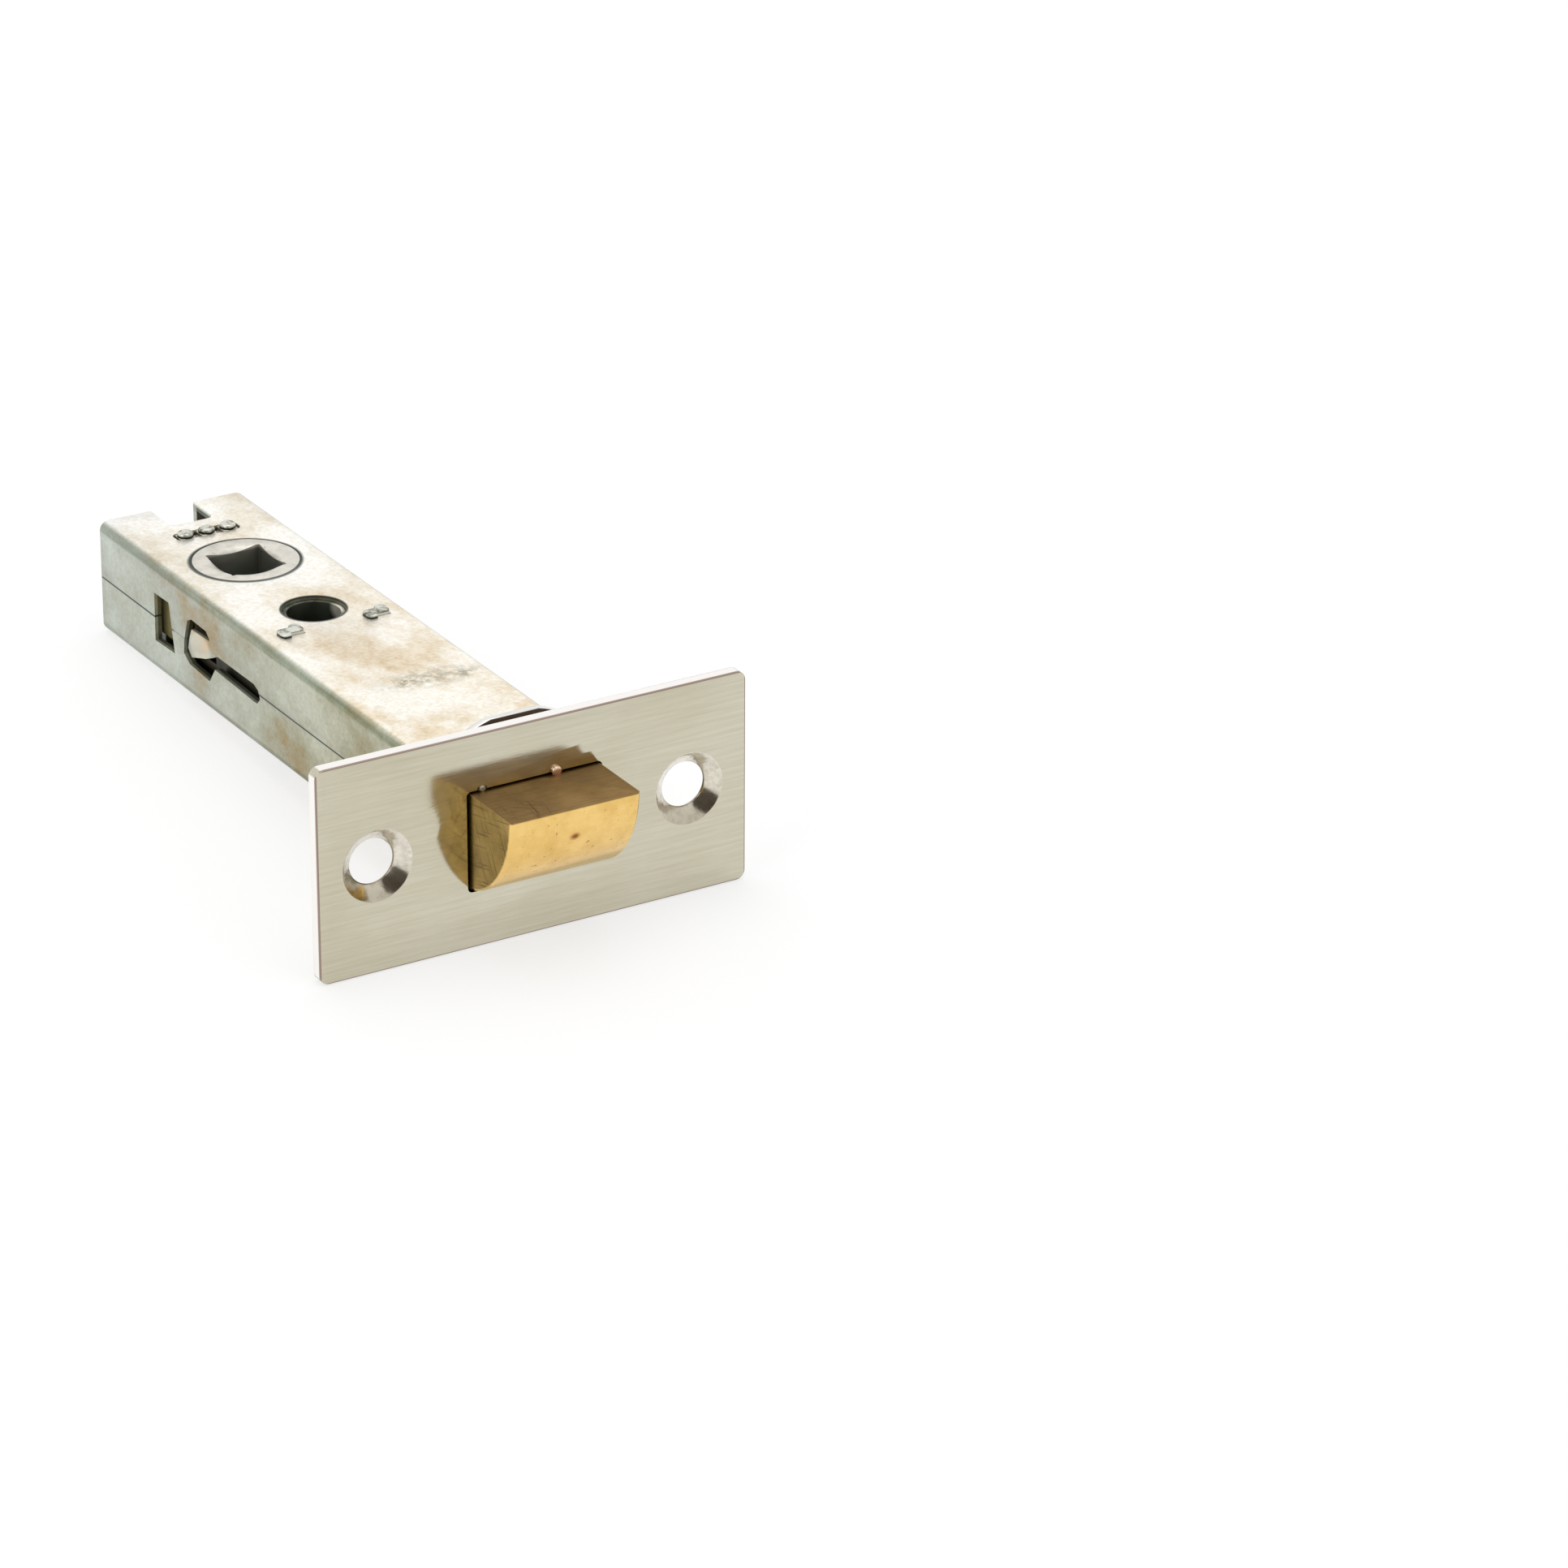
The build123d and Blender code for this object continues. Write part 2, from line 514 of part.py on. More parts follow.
# Follower: a spool that turns in both shells, with an arm each side to draw the plates
# back whichever way the handle turns, and the square hole for the spindle.
with BuildPart() as follower:
    with BuildSketch(Plane.XY.offset(-CASE_TOP)):
        with Locations((0, FOLLOWER_Y)):
            Circle(JOURNAL_RADIUS)
    extrude(amount=CASE_TOP - FLANGE_INNER_Z)
    with BuildSketch(Plane.XY.offset(FLANGE_INNER_Z)):
        with Locations((0, FOLLOWER_Y)):
            Circle(JOURNAL_RADIUS)
    extrude(amount=CASE_TOP - FLANGE_INNER_Z)
    for low in (-FLANGE_OUTER_Z, FLANGE_INNER_Z):
        with BuildSketch(Plane.XY.offset(low)):
            with Locations((0, FOLLOWER_Y)):
                Circle(FLANGE_RADIUS)
        extrude(amount=FLANGE_OUTER_Z - FLANGE_INNER_Z)
    with BuildSketch(Plane.XY.offset(-FLANGE_INNER_Z)):
        with Locations((0, FOLLOWER_Y)):
            Circle(HUB_RADIUS)
    extrude(amount=2 * FLANGE_INNER_Z)
    with BuildSketch(Plane.XY.offset(-ARM_HALF_HEIGHT)):
        for turn in (-ARM_REST_ANGLE, 180 + ARM_REST_ANGLE):
            with Locations(Location((0, FOLLOWER_Y, 0), turn)):
                with Locations((ARM_CENTRE_RADIUS / 2, 0)):
                    Rectangle(ARM_CENTRE_RADIUS, 2 * ARM_TIP_RADIUS)
                with Locations((ARM_CENTRE_RADIUS, 0)):
                    Circle(ARM_TIP_RADIUS)
    extrude(amount=2 * ARM_HALF_HEIGHT)
    with BuildSketch(Plane.XY.offset(-CASE_HEIGHT)):
        with Locations((0, FOLLOWER_Y)):
            Rectangle(SPINDLE_SQUARE, SPINDLE_SQUARE)
    extrude(amount=2 * CASE_HEIGHT, mode=Mode.SUBTRACT)
    # A shallow cone at each mouth, which bows the square's edges
    for side in mirror_sides:
        with BuildSketch(Plane.YZ):
            with BuildLine():
                Polyline((FOLLOWER_Y, side * CASE_TOP),
                         (FOLLOWER_Y + LEAD_RADIUS, side * CASE_TOP),
                         (FOLLOWER_Y + SPINDLE_SQUARE / 2, side * (CASE_TOP - LEAD_DEPTH)),
                         (FOLLOWER_Y, side * (CASE_TOP - LEAD_DEPTH)), close=True)
            make_face()
        revolve(axis=Axis((0, FOLLOWER_Y, 0), (0, 0, 1)), mode=Mode.SUBTRACT)
follower.part.label = "follower"

# Rear spacer: keeps the shells apart when the fixing bolts are tightened; its lugs are
# staked into three bumps in the shells' slots.
with BuildPart() as rear_spacer:
    with BuildSketch(across(SPACER_Y - SPACER_THICK / 2)):
        Rectangle(2 * SPACER_HALF_WIDTH, 2 * CASE_INSIDE_Z)
        Rectangle(SPACER_LUG_LENGTH, CASE_HEIGHT - SHEET)
    extrude(amount=-SPACER_THICK)
    for low in (-CASE_TOP, CASE_TOP - SHEET):
        with BuildSketch(Plane.XY.offset(low)):
            for step in (-1, 0, 1):
                with Locations((step * SPACER_BUMP_SPACING, SPACER_Y)):
                    Rectangle(SPACER_BUMP_LENGTH, SPACER_BUMP_WIDTH)
        extrude(amount=SHEET)
rear_spacer.part.label = "rear_spacer"

os.makedirs("parts", exist_ok=True)
for piece in (
    faceplate.part, upper_case.part, lower_case.part, bore_collar.part, latch_bolt.part,
    bolt_stem.part, stem_pin.part, stem_washer.part, stem_circlip.part, bolt_spring.part,
    crosshead.part, left_draw_plate, right_draw_plate, draw_rivets.part, return_spring.part,
    spring_seat.part, spring_wall.part, through_bush.part, follower.part, rear_spacer.part,
):
    export_step(piece, "parts/" + piece.label + ".step")
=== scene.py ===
# %% [markdown]
# # A tubular door latch
# The latch lies as in the photograph: faceplate towards us, long case running back to the
# upper left. The CAD model gives every size and place. Here its pieces get fine edges and
# the finishes of the real ones: satin nickel, plain brass and passivated zinc. X runs along
# the faceplate, Y back along the case and Z up, from the middle of the plate's front face.

# %% Load the frame
import json
import math

import bpy
from mathutils import Matrix, Vector


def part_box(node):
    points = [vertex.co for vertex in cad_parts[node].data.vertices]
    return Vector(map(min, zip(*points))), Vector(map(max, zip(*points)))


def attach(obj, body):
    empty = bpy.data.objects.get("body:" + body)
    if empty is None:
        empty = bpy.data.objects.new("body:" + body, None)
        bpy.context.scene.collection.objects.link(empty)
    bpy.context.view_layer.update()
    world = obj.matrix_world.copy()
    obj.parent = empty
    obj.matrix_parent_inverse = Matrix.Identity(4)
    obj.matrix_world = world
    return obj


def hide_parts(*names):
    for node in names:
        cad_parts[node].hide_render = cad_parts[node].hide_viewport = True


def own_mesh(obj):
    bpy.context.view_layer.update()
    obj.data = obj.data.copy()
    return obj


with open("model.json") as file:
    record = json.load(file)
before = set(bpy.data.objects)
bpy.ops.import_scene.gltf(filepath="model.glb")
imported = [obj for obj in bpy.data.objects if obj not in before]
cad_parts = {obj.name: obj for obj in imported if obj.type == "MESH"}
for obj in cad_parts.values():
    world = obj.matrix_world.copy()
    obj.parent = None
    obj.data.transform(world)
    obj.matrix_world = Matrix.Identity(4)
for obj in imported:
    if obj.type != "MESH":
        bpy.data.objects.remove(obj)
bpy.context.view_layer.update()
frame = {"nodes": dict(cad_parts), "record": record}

# %% Sizes used below
MM = 0.001
PHOTO_PIXELS = 1932
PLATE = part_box("faceplate")
PLATE_END_X, PLATE_BACK_Y, PLATE_TOP_Z = PLATE[1]
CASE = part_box("upper_case")
CASE_SIDE_X = CASE[1][0]
CASE_REAR_Y = CASE[1][1]
CASE_TOP_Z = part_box("follower")[1][2]
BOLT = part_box("latch_bolt")
BOLT_END_X = BOLT[1][0]
BOLT_TOP_Z = BOLT[1][2]
COLLAR_FRONT_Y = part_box("bore_collar")[0][1]
# Places of the follower and the front fixing hole, in mm behind the plate's front.
FOLLOWER_AT = 76.7
BUSH_AT = 57.7
print("the case's top is at", round(CASE_TOP_Z / MM, 2), "mm")

# %% [markdown]
# A material here is a small graph of nodes. These helpers add the nodes that nearly every
# finish needs: the piece's own coordinates, stretched as wanted, a noise read at those
# coordinates, a ramp of colours driven by it, and a bump made from it.

# %% Material helpers
# Most of a noise's values lie between these two.
NOISE_LOW = 0.3
NOISE_HIGH = 0.7
EVEN = (1.0, 1.0, 1.0)


def new_finish(name, metallic, roughness):
    finish = bpy.data.materials.new(name)
    finish.use_nodes = True
    shader = finish.node_tree.nodes["Principled BSDF"]
    shader.inputs["Metallic"].default_value = metallic
    shader.inputs["Roughness"].default_value = roughness
    return finish, finish.node_tree, shader


def place_on_piece(tree):
    return tree.nodes.new("ShaderNodeTexCoord").outputs["Object"]


def mapped(tree, vector, setting, amounts):
    mapping = tree.nodes.new("ShaderNodeMapping")
    mapping.inputs[setting].default_value = amounts
    tree.links.new(vector, mapping.inputs["Vector"])
    return mapping.outputs["Vector"]


def noise_at(tree, vector, scale, detail, roughness):
    texture = tree.nodes.new("ShaderNodeTexNoise")
    texture.inputs["Scale"].default_value = scale
    texture.inputs["Detail"].default_value = detail
    texture.inputs["Roughness"].default_value = roughness
    tree.links.new(vector, texture.inputs["Vector"])
    return texture.outputs["Fac"]


def noise(tree, stretch, scale, detail=4.0, roughness=0.55):
    stretched = mapped(tree, place_on_piece(tree), "Scale", stretch)
    return noise_at(tree, stretched, scale, detail, roughness)


def ramp(tree, value, stops):
    colours = tree.nodes.new("ShaderNodeValToRGB")
    band = colours.color_ramp
    while len(band.elements) < len(stops):
        band.elements.new(0.5)
    for element, (position, colour) in zip(band.elements, stops):
        element.position = position
        element.color = (*colour, 1.0)
    tree.links.new(value, colours.inputs["Fac"])
    return colours.outputs["Color"]


def blend_colours(tree, share, first, second, mode="MIX"):
    mix = tree.nodes.new("ShaderNodeMix")
    mix.data_type = "RGBA"
    mix.blend_type = mode
    for socket, value in (("Factor", share), ("A", first), ("B", second)):
        target = [s for s in mix.inputs if s.name == socket and s.enabled][0]
        if isinstance(value, (int, float)):
            target.default_value = value
        elif isinstance(value, tuple):
            target.default_value = (*value, 1.0)
        else:
            tree.links.new(value, target)
    return [s for s in mix.outputs if s.enabled][0]


def number_map(tree, value, from_low, from_high, to_low, to_high):
    map_range = tree.nodes.new("ShaderNodeMapRange")
    map_range.inputs["From Min"].default_value = from_low
    map_range.inputs["From Max"].default_value = from_high
    map_range.inputs["To Min"].default_value = to_low
    map_range.inputs["To Max"].default_value = to_high
    tree.links.new(value, map_range.inputs["Value"])
    return map_range.outputs["Result"]


def follow(tree, cloud, at_low, at_high):
    """A number that goes from one amount to another as the noise goes from low to high."""
    return number_map(tree, cloud, NOISE_LOW, NOISE_HIGH, at_low, at_high)


def complete(tree, shader, colour, roughness, height, strength, distance=0.02 * MM):
    """Hand the shader its colour, its roughness and a bump made from the height."""
    tree.links.new(colour, shader.inputs["Base Color"])
    tree.links.new(roughness, shader.inputs["Roughness"])
    bump = tree.nodes.new("ShaderNodeBump")
    bump.inputs["Strength"].default_value = strength
    bump.inputs["Distance"].default_value = distance
    tree.links.new(height, bump.inputs["Height"])
    tree.links.new(bump.outputs["Normal"], shader.inputs["Normal"])


def linear(red, green, blue):
    """A colour as seen on screen, 0 to 255, turned into the light amounts that nodes use."""
    def one(channel):
        share = channel / 255
        return share / 12.92 if share <= 0.04045 else ((share + 0.055) / 1.055) ** 2.4
    return (one(red), one(green), one(blue))


WHITE = linear(255, 255, 255)

# %% [markdown]
# Some marks belong to one place on the metal: a dark joint round a hole, a stain, a polished
# cone. Each is a mask that is 1 inside an ellipse on the piece and fades to 0 outside it. The
# ellipse lies across one of the axes, so the same helper serves the top and the front. Other
# masks follow one axis and rise or fall between two distances along it.

# %% Masks for marks at one place
def along(tree, axis):
    parts = tree.nodes.new("ShaderNodeSeparateXYZ")
    tree.links.new(place_on_piece(tree), parts.inputs["Vector"])
    return parts.outputs[axis]


def mark(tree, centre, reach, inner=0.9, outer=1.1):
    """1 near the centre, 0 outside, both in mm; an axis with no reach is ignored."""
    offset = tree.nodes.new("ShaderNodeVectorMath")
    offset.operation = "SUBTRACT"
    offset.inputs[1].default_value = [value * MM for value in centre]
    tree.links.new(place_on_piece(tree), offset.inputs[0])
    scaled = tree.nodes.new("ShaderNodeVectorMath")
    scaled.operation = "MULTIPLY"
    scaled.inputs[1].default_value = [1 / (value * MM) if value else 0.0 for value in reach]
    tree.links.new(offset.outputs[0], scaled.inputs[0])
    length = tree.nodes.new("ShaderNodeVectorMath")
    length.operation = "LENGTH"
    tree.links.new(scaled.outputs[0], length.inputs[0])
    return falling(tree, length.outputs["Value"], inner, outer)


def combine(tree, operation, first, second):
    result = tree.nodes.new("ShaderNodeMath")
    result.operation = operation
    for socket, value in zip(result.inputs, (first, second)):
        if isinstance(value, (int, float)):
            socket.default_value = value
        else:
            tree.links.new(value, socket)
    return result.outputs[0]


def multiply(tree, first, second):
    return combine(tree, "MULTIPLY", first, second)


def larger(tree, first, second):
    return combine(tree, "MAXIMUM", first, second)


def from_middle(tree, axis):
    return combine(tree, "ABSOLUTE", along(tree, axis), 0.0)


def rising(tree, value, start, end, most=1.0):
    return number_map(tree, value, start, end, 0.0, most)


def falling(tree, value, start, end, most=1.0):
    return number_map(tree, value, start, end, most, 0.0)


# %% [markdown]
# ## Satin nickel
# The faceplate is plated and brushed along its length. Brushing is a noise stretched so far
# along X that it turns to lines; it roughens the metal a little and tints it. The two screw
# cones were cut by a tool before plating, so they carry no brushing but fine tool marks and are
# paler; their colour darkens towards their lower side as a painted dark reflection, and a thin
# rim of painted shade lies where each cone meets its hole. The sheared rim is painted pale as a
# highlight line, with a thin brown line of painted dark reflection beside it on the front edge.

# %% Nickel's brushed face, cones and outline
# All in mm.
SCREW_X = 21.9
SCREW_CONE_RADIUS = 4.86
SCREW_HOLE_RADIUS = 3.0


def at_both_screws(tree, radius, inner, outer):
    return larger(
        tree,
        mark(tree, (-SCREW_X, 0, 0), (radius, 0, radius), inner, outer),
        mark(tree, (SCREW_X, 0, 0), (radius, 0, radius), inner, outer),
    )


def near_outline(tree, start, end):
    """Rises from 0 to 1 between two distances, in mm, inside the plate's outline."""
    across, height = from_middle(tree, "X"), from_middle(tree, "Z")
    return larger(
        tree,
        rising(tree, across, PLATE_END_X - start * MM, PLATE_END_X - end * MM),
        rising(tree, height, PLATE_TOP_Z - start * MM, PLATE_TOP_Z - end * MM),
    )


def brushed_nickel(tree, lines):
    clouds = noise(tree, EVEN, 60.0, detail=3.0)
    tint = ramp(tree, lines, ((0.32, linear(197, 192, 172)), (0.68, linear(210, 206, 188))))
    cloud_tint = ramp(tree, clouds, ((0.35, linear(248, 246, 241)), (0.7, WHITE)))
    return blend_colours(tree, 1.0, tint, cloud_tint, "MULTIPLY")


def turned_nickel(tree):
    # Painted dark reflection: each cone's colour darkens towards its lower side.
    low_down_painted_light = falling(tree, along(tree, "Z"), -4.0 * MM, 0.5 * MM)
    metal = blend_colours(tree, low_down_painted_light, linear(230, 225, 212), linear(190, 182, 164))
    tool_marks = noise(tree, (1.0, 0.35, 1.0), 1100.0, detail=6.0, roughness=0.7)
    tool_tint = ramp(tree, tool_marks, ((0.36, linear(168, 158, 142)), (0.56, WHITE)))
    return blend_colours(tree, 0.35, metal, tool_tint, "MULTIPLY")


def outline_painted_light(tree, colour):
    # Painted highlight: the sheared rim is painted pale.
    cut_rim = near_outline(tree, 0.09, 0.03)
    colour = blend_colours(tree, cut_rim, colour, linear(250, 246, 242))
    # Painted dark reflection: a thin brown line along the plate's front edge.
    arris_side = near_outline(tree, 0.17, 0.13)
    arris_front = falling(tree, along(tree, "Y"), 0.22 * MM, 0.42 * MM)
    arris = multiply(tree, multiply(tree, arris_side, arris_front), 0.85)
    return blend_colours(tree, arris, colour, linear(132, 106, 92))


# %% [markdown]
# The layers lie over one another in the order in which the plate got them: the brushed
# face, the two cones, the lips of their holes, and last the outline.

# %% Satin nickel
def satin_nickel():
    finish, tree, shader = new_finish("satin_nickel", 1.0, 0.2)
    lines = noise(tree, (2.5, 70.0, 70.0), 30.0, detail=5.0, roughness=0.7)
    fine = noise(tree, (10.0, 400.0, 400.0), 30.0, detail=2.0)
    y = along(tree, "Y")
    ahead_of_back = falling(tree, y, PLATE_BACK_Y - 0.2 * MM, PLATE_BACK_Y - 0.1 * MM)
    cones = multiply(tree, at_both_screws(tree, SCREW_CONE_RADIUS, 0.985, 1.0), ahead_of_back)
    colour = blend_colours(tree, cones, brushed_nickel(tree, lines), turned_nickel(tree))
    # Painted shade: a thin dark rim where each cone meets its hole.
    hole_rim_painted_shade = multiply(tree, at_both_screws(tree, SCREW_HOLE_RADIUS, 1.0, 1.05), 0.8)
    colour = blend_colours(tree, hole_rim_painted_shade, colour, linear(122, 104, 90))
    colour = outline_painted_light(tree, colour)
    outside_cones = combine(tree, "SUBTRACT", 1.0, cones)
    roughness = combine(
        tree, "ADD",
        multiply(tree, follow(tree, lines, 0.09, 0.17), outside_cones),
        multiply(tree, cones, 0.17),
    )
    relief = multiply(tree, combine(tree, "ADD", lines, fine), outside_cones)
    complete(tree, shader, colour, roughness, relief, 0.22)
    return finish


# %% [markdown]
# ## Passivated zinc
# The shells are zinc plated and passivated. The wide faces have a white bloom with soft tan
# clouds, stronger tan patches ahead and a grey stain near the front; the sides are painted a
# darker, greener grey as shade; the bend between them gets painted shade in long streaks. The
# height above the middle tells the three apart. The sheet's cut edges and its inner side are
# painted dark as shade, and the seam where the shells meet is dark. The hooked tab on the side
# covers the seam; it is creamy, with one faint rust spot. A dark joint shows round what turns or
# passes through, with painted shade where it is thicker at the lower left.

# %% Zinc's faces, bend, tab, edges and stains
# Places and reaches in mm; the last number of a stain is its strength.
STAINS = (
    ((-0.9, 31.0, 0.0), (3.0, 2.6, 0.0), 1.0),
    ((7.0, 29.9, 0.0), (2.6, 2.2, 0.0), 0.9),
    ((2.0, 30.8, 0.0), (9.0, 3.8, 0.0), 0.65),
)
TAN_PATCHES = (
    ((8.6, 21.0, 0.0), (4.5, 9.0, 0.0)),
    ((-1.3, 18.0, 0.0), (6.0, 4.5, 0.0)),
    ((-6.5, 36.0, 0.0), (4.0, 5.0, 0.0)),
)
# Dark joints round the follower and the bush; the follower's ring is offset so that it is thicker
# at the lower left as painted shade.
JOINT_RINGS_AND_SHADE = (
    ((-0.12, 76.55, 0.0), (7.5, 7.5, 0.0)),
    ((0.0, BUSH_AT, 0.0), (4.4, 4.4, 0.0)),
)
FRONT_HALF_END = 30.0 * MM
REAR_HALF_START = 75.0 * MM
TAB_FROM = 65.0 * MM
TAB_TO = 76.9 * MM
SEAM_FADE = 0.2 * MM


def below_top(tree, start, end):
    """Rises from 0 to 1 between two depths, in mm, under the case's top."""
    return rising(tree, from_middle(tree, "Z"), CASE_TOP_Z - start * MM, CASE_TOP_Z - end * MM)


def wide_face(tree, clouds, rearward):
    front = ramp(tree, clouds, (
        (0.33, linear(214, 190, 152)), (0.46, linear(237, 224, 201)), (0.57, linear(254, 251, 243)),
    ))
    rear = ramp(tree, clouds, (
        (0.33, linear(220, 207, 182)), (0.45, linear(241, 236, 224)), (0.56, linear(255, 254, 250)),
    ))
    colour = blend_colours(tree, rearward, front, rear)
    blotches = noise(tree, EVEN, 380.0, detail=6.0, roughness=0.7)
    blotch_share = number_map(tree, blotches, 0.40, 0.62, 0.15, 0.75)
    for centre, reach in TAN_PATCHES:
        patch = multiply(tree, mark(tree, centre, reach, 0.2, 1.1), blotch_share)
        colour = blend_colours(tree, patch, colour, linear(222, 198, 154))
    return colour


def side_painted_shade(tree, clouds, rearward):
    # Painted shade: the sides take darker, greener copies of the wide faces' colours.
    front = ramp(tree, clouds, (
        (0.36, linear(160, 144, 104)), (0.50, linear(172, 171, 146)), (0.62, linear(196, 197, 178)),
    ))
    rear = ramp(tree, clouds, (
        (0.34, linear(174, 158, 126)), (0.43, linear(178, 181, 168)), (0.64, linear(197, 205, 196)),
    ))
    return blend_colours(tree, rearward, front, rear)


def bend_painted_shade(tree, colour):
    # Painted shade: the bend between top and side is darkened in long streaks.
    high = falling(tree, from_middle(tree, "Z"), CASE_TOP_Z - 0.3 * MM, CASE_TOP_Z - 0.02 * MM)
    bend = multiply(tree, below_top(tree, 1.5, 1.1), high)
    streaks = noise(tree, (16.0, 0.4, 16.0), 95.0, detail=3.0)
    streaked_shade = ramp(tree, streaks, ((0.36, linear(176, 186, 180)), (0.64, linear(226, 230, 222))))
    return blend_colours(tree, multiply(tree, bend, 0.9), colour, streaked_shade, "MULTIPLY")


def tab_and_seam(tree, colour):
    tab = mark(tree, (0.0, 69.4, 0.3), (0.0, 3.2, 2.2), 0.75, 1.1)
    colour = blend_colours(tree, multiply(tree, tab, 0.6), colour, linear(228, 223, 204))
    rust = mark(tree, (0.0, 67.7, 1.2), (0.0, 0.9, 0.8), 0.2, 1.1)
    colour = blend_colours(tree, multiply(tree, rust, 0.6), colour, linear(226, 188, 140))
    y = along(tree, "Y")
    clear_of_tab = larger(
        tree,
        falling(tree, y, TAB_FROM, TAB_FROM + SEAM_FADE),
        rising(tree, y, TAB_TO, TAB_TO + SEAM_FADE),
    )
    seam = falling(tree, from_middle(tree, "Z"), 0.10 * MM, 0.17 * MM, most=0.85)
    seam = multiply(tree, seam, clear_of_tab)
    return blend_colours(tree, seam, colour, linear(62, 70, 64))


def cut_edges_painted_shade(tree, colour):
    """Painted shade: dark where the metal lies deeper than the plated skin, save at the rear end.
    """
    across, height = from_middle(tree, "X"), from_middle(tree, "Z")
    under_skin = multiply(
        tree,
        falling(tree, across, CASE_SIDE_X - 0.5 * MM, CASE_SIDE_X - 0.42 * MM),
        falling(tree, height, CASE_TOP_Z - 0.5 * MM, CASE_TOP_Z - 0.42 * MM),
    )
    y = along(tree, "Y")
    ahead_of_end = falling(tree, y, CASE_REAR_Y - 1.1 * MM, CASE_REAR_Y - 0.9 * MM)
    cut = multiply(tree, multiply(tree, under_skin, ahead_of_end), 0.8)
    return blend_colours(tree, cut, colour, linear(64, 66, 52))


def stains_and_shaded_rings(tree, colour, near_top):
    spots = rising(tree, noise(tree, EVEN, 800.0, detail=8.0, roughness=0.75), 0.43, 0.56)
    stain = 0.0
    for centre, reach, strength in STAINS:
        patch = multiply(tree, mark(tree, centre, reach, 0.1, 1.0), strength)
        stain = larger(tree, stain, patch)
    stain = multiply(tree, multiply(tree, multiply(tree, stain, spots), near_top), 0.9)
    colour = blend_colours(tree, stain, colour, linear(116, 110, 84))
    for centre, reach in JOINT_RINGS_AND_SHADE:
        # Each ring is a dark joint, with painted shade where it is thicker.
        joint_and_shade = multiply(tree, mark(tree, centre, reach, 0.985, 1.035), near_top)
        colour = blend_colours(tree, joint_and_shade, colour, linear(44, 54, 44))
    return colour


# %% [markdown]
# The shell's finish is built up from its faces to the marks on them. Its gloss follows the
# same clouds as the bloom does: where they are tan it is duller.

# %% Passivated zinc
def passivated_zinc(name):
    finish, tree, shader = new_finish(name, 0.7, 0.36)
    rearward = rising(tree, along(tree, "Y"), FRONT_HALF_END, REAR_HALF_START)
    clouds = noise(tree, (1.0, 0.7, 1.0), 95.0, detail=6.0, roughness=0.62)
    grain = noise(tree, EVEN, 2100.0, detail=3.0)
    near_top = below_top(tree, 0.5, 0.06)
    side = side_painted_shade(tree, clouds, rearward)
    colour = blend_colours(tree, near_top, side, wide_face(tree, clouds, rearward))
    colour = bend_painted_shade(tree, colour)
    speckle = ramp(tree, grain, ((0.32, linear(240, 236, 227)), (0.6, WHITE)))
    colour = blend_colours(tree, 1.0, colour, speckle, "MULTIPLY")
    colour = tab_and_seam(tree, colour)
    colour = cut_edges_painted_shade(tree, colour)
    colour = stains_and_shaded_rings(tree, colour, near_top)
    complete(tree, shader, colour, follow(tree, clouds, 0.46, 0.30), grain, 0.2)
    return finish


# %% [markdown]
# ## Brass
# The bolt is solid brass. Its bevel is rubbed bright by the door frame, with a few specks and
# one brown spot, and is painted paler low down as a highlight. Its two wide faces, which slide
# in the case, are painted darker brown as shade and carry faint lines along their travel; near
# one corner the upper one was touched up with a file. The two ends still show the crossed marks
# of the saw and the file and are darker and olive. The distances from the middle tell them apart.

# %% Brass's bevel, ends and sliding faces
# A turn, in degrees, for each of the two ways that the file went, and how far its strokes
# are drawn out along the axes.
END_STROKES = ((12.0, 0.0, 0.0), (-62.0, 0.0, 0.0))
END_STRETCH = (1.0, 150.0, 3100.0)
CORNER_STROKES = ((0.0, 0.0, 8.0), (0.0, 0.0, -52.0))
CORNER_STRETCH = (2600.0, 150.0, 1.0)


def file_marks(tree, turn, stretch):
    angles = [math.radians(angle) for angle in turn]
    turned = mapped(tree, place_on_piece(tree), "Rotation", angles)
    drawn_out = mapped(tree, turned, "Scale", stretch)
    return rising(tree, noise_at(tree, drawn_out, 1.0, 3.0, 0.5), 0.56, 0.64)


def crossed_marks(tree, turns, stretch):
    return larger(
        tree, file_marks(tree, turns[0], stretch), file_marks(tree, turns[1], stretch),
    )


def rubbed_bevel_and_painted_highlight(tree, tarnish):
    colour = ramp(tree, tarnish, ((0.28, linear(222, 180, 102)), (0.60, linear(243, 206, 130))))
    specks = rising(tree, noise(tree, EVEN, 1300.0, detail=2.0), 0.66, 0.72)
    colour = blend_colours(tree, multiply(tree, specks, 0.6), colour, linear(120, 84, 40))
    brown_spot = mark(tree, (0.3, -9.2, 2.4), (0.8, 1.5, 0.6), 0.3, 1.1)
    colour = blend_colours(tree, brown_spot, colour, linear(150, 88, 44))
    # Painted highlight: the bevel is painted paler low down.
    low_down_painted_light = falling(tree, along(tree, "Z"), -4.5 * MM, -1.0 * MM, most=0.7)
    return blend_colours(tree, low_down_painted_light, colour, linear(250, 218, 152))


def filed_ends(tree, tarnish):
    colour = ramp(tree, tarnish, ((0.3, linear(158, 132, 76)), (0.65, linear(200, 170, 106))))
    strokes = multiply(tree, crossed_marks(tree, END_STROKES, END_STRETCH), 0.5)
    return blend_colours(tree, strokes, colour, linear(92, 74, 40))


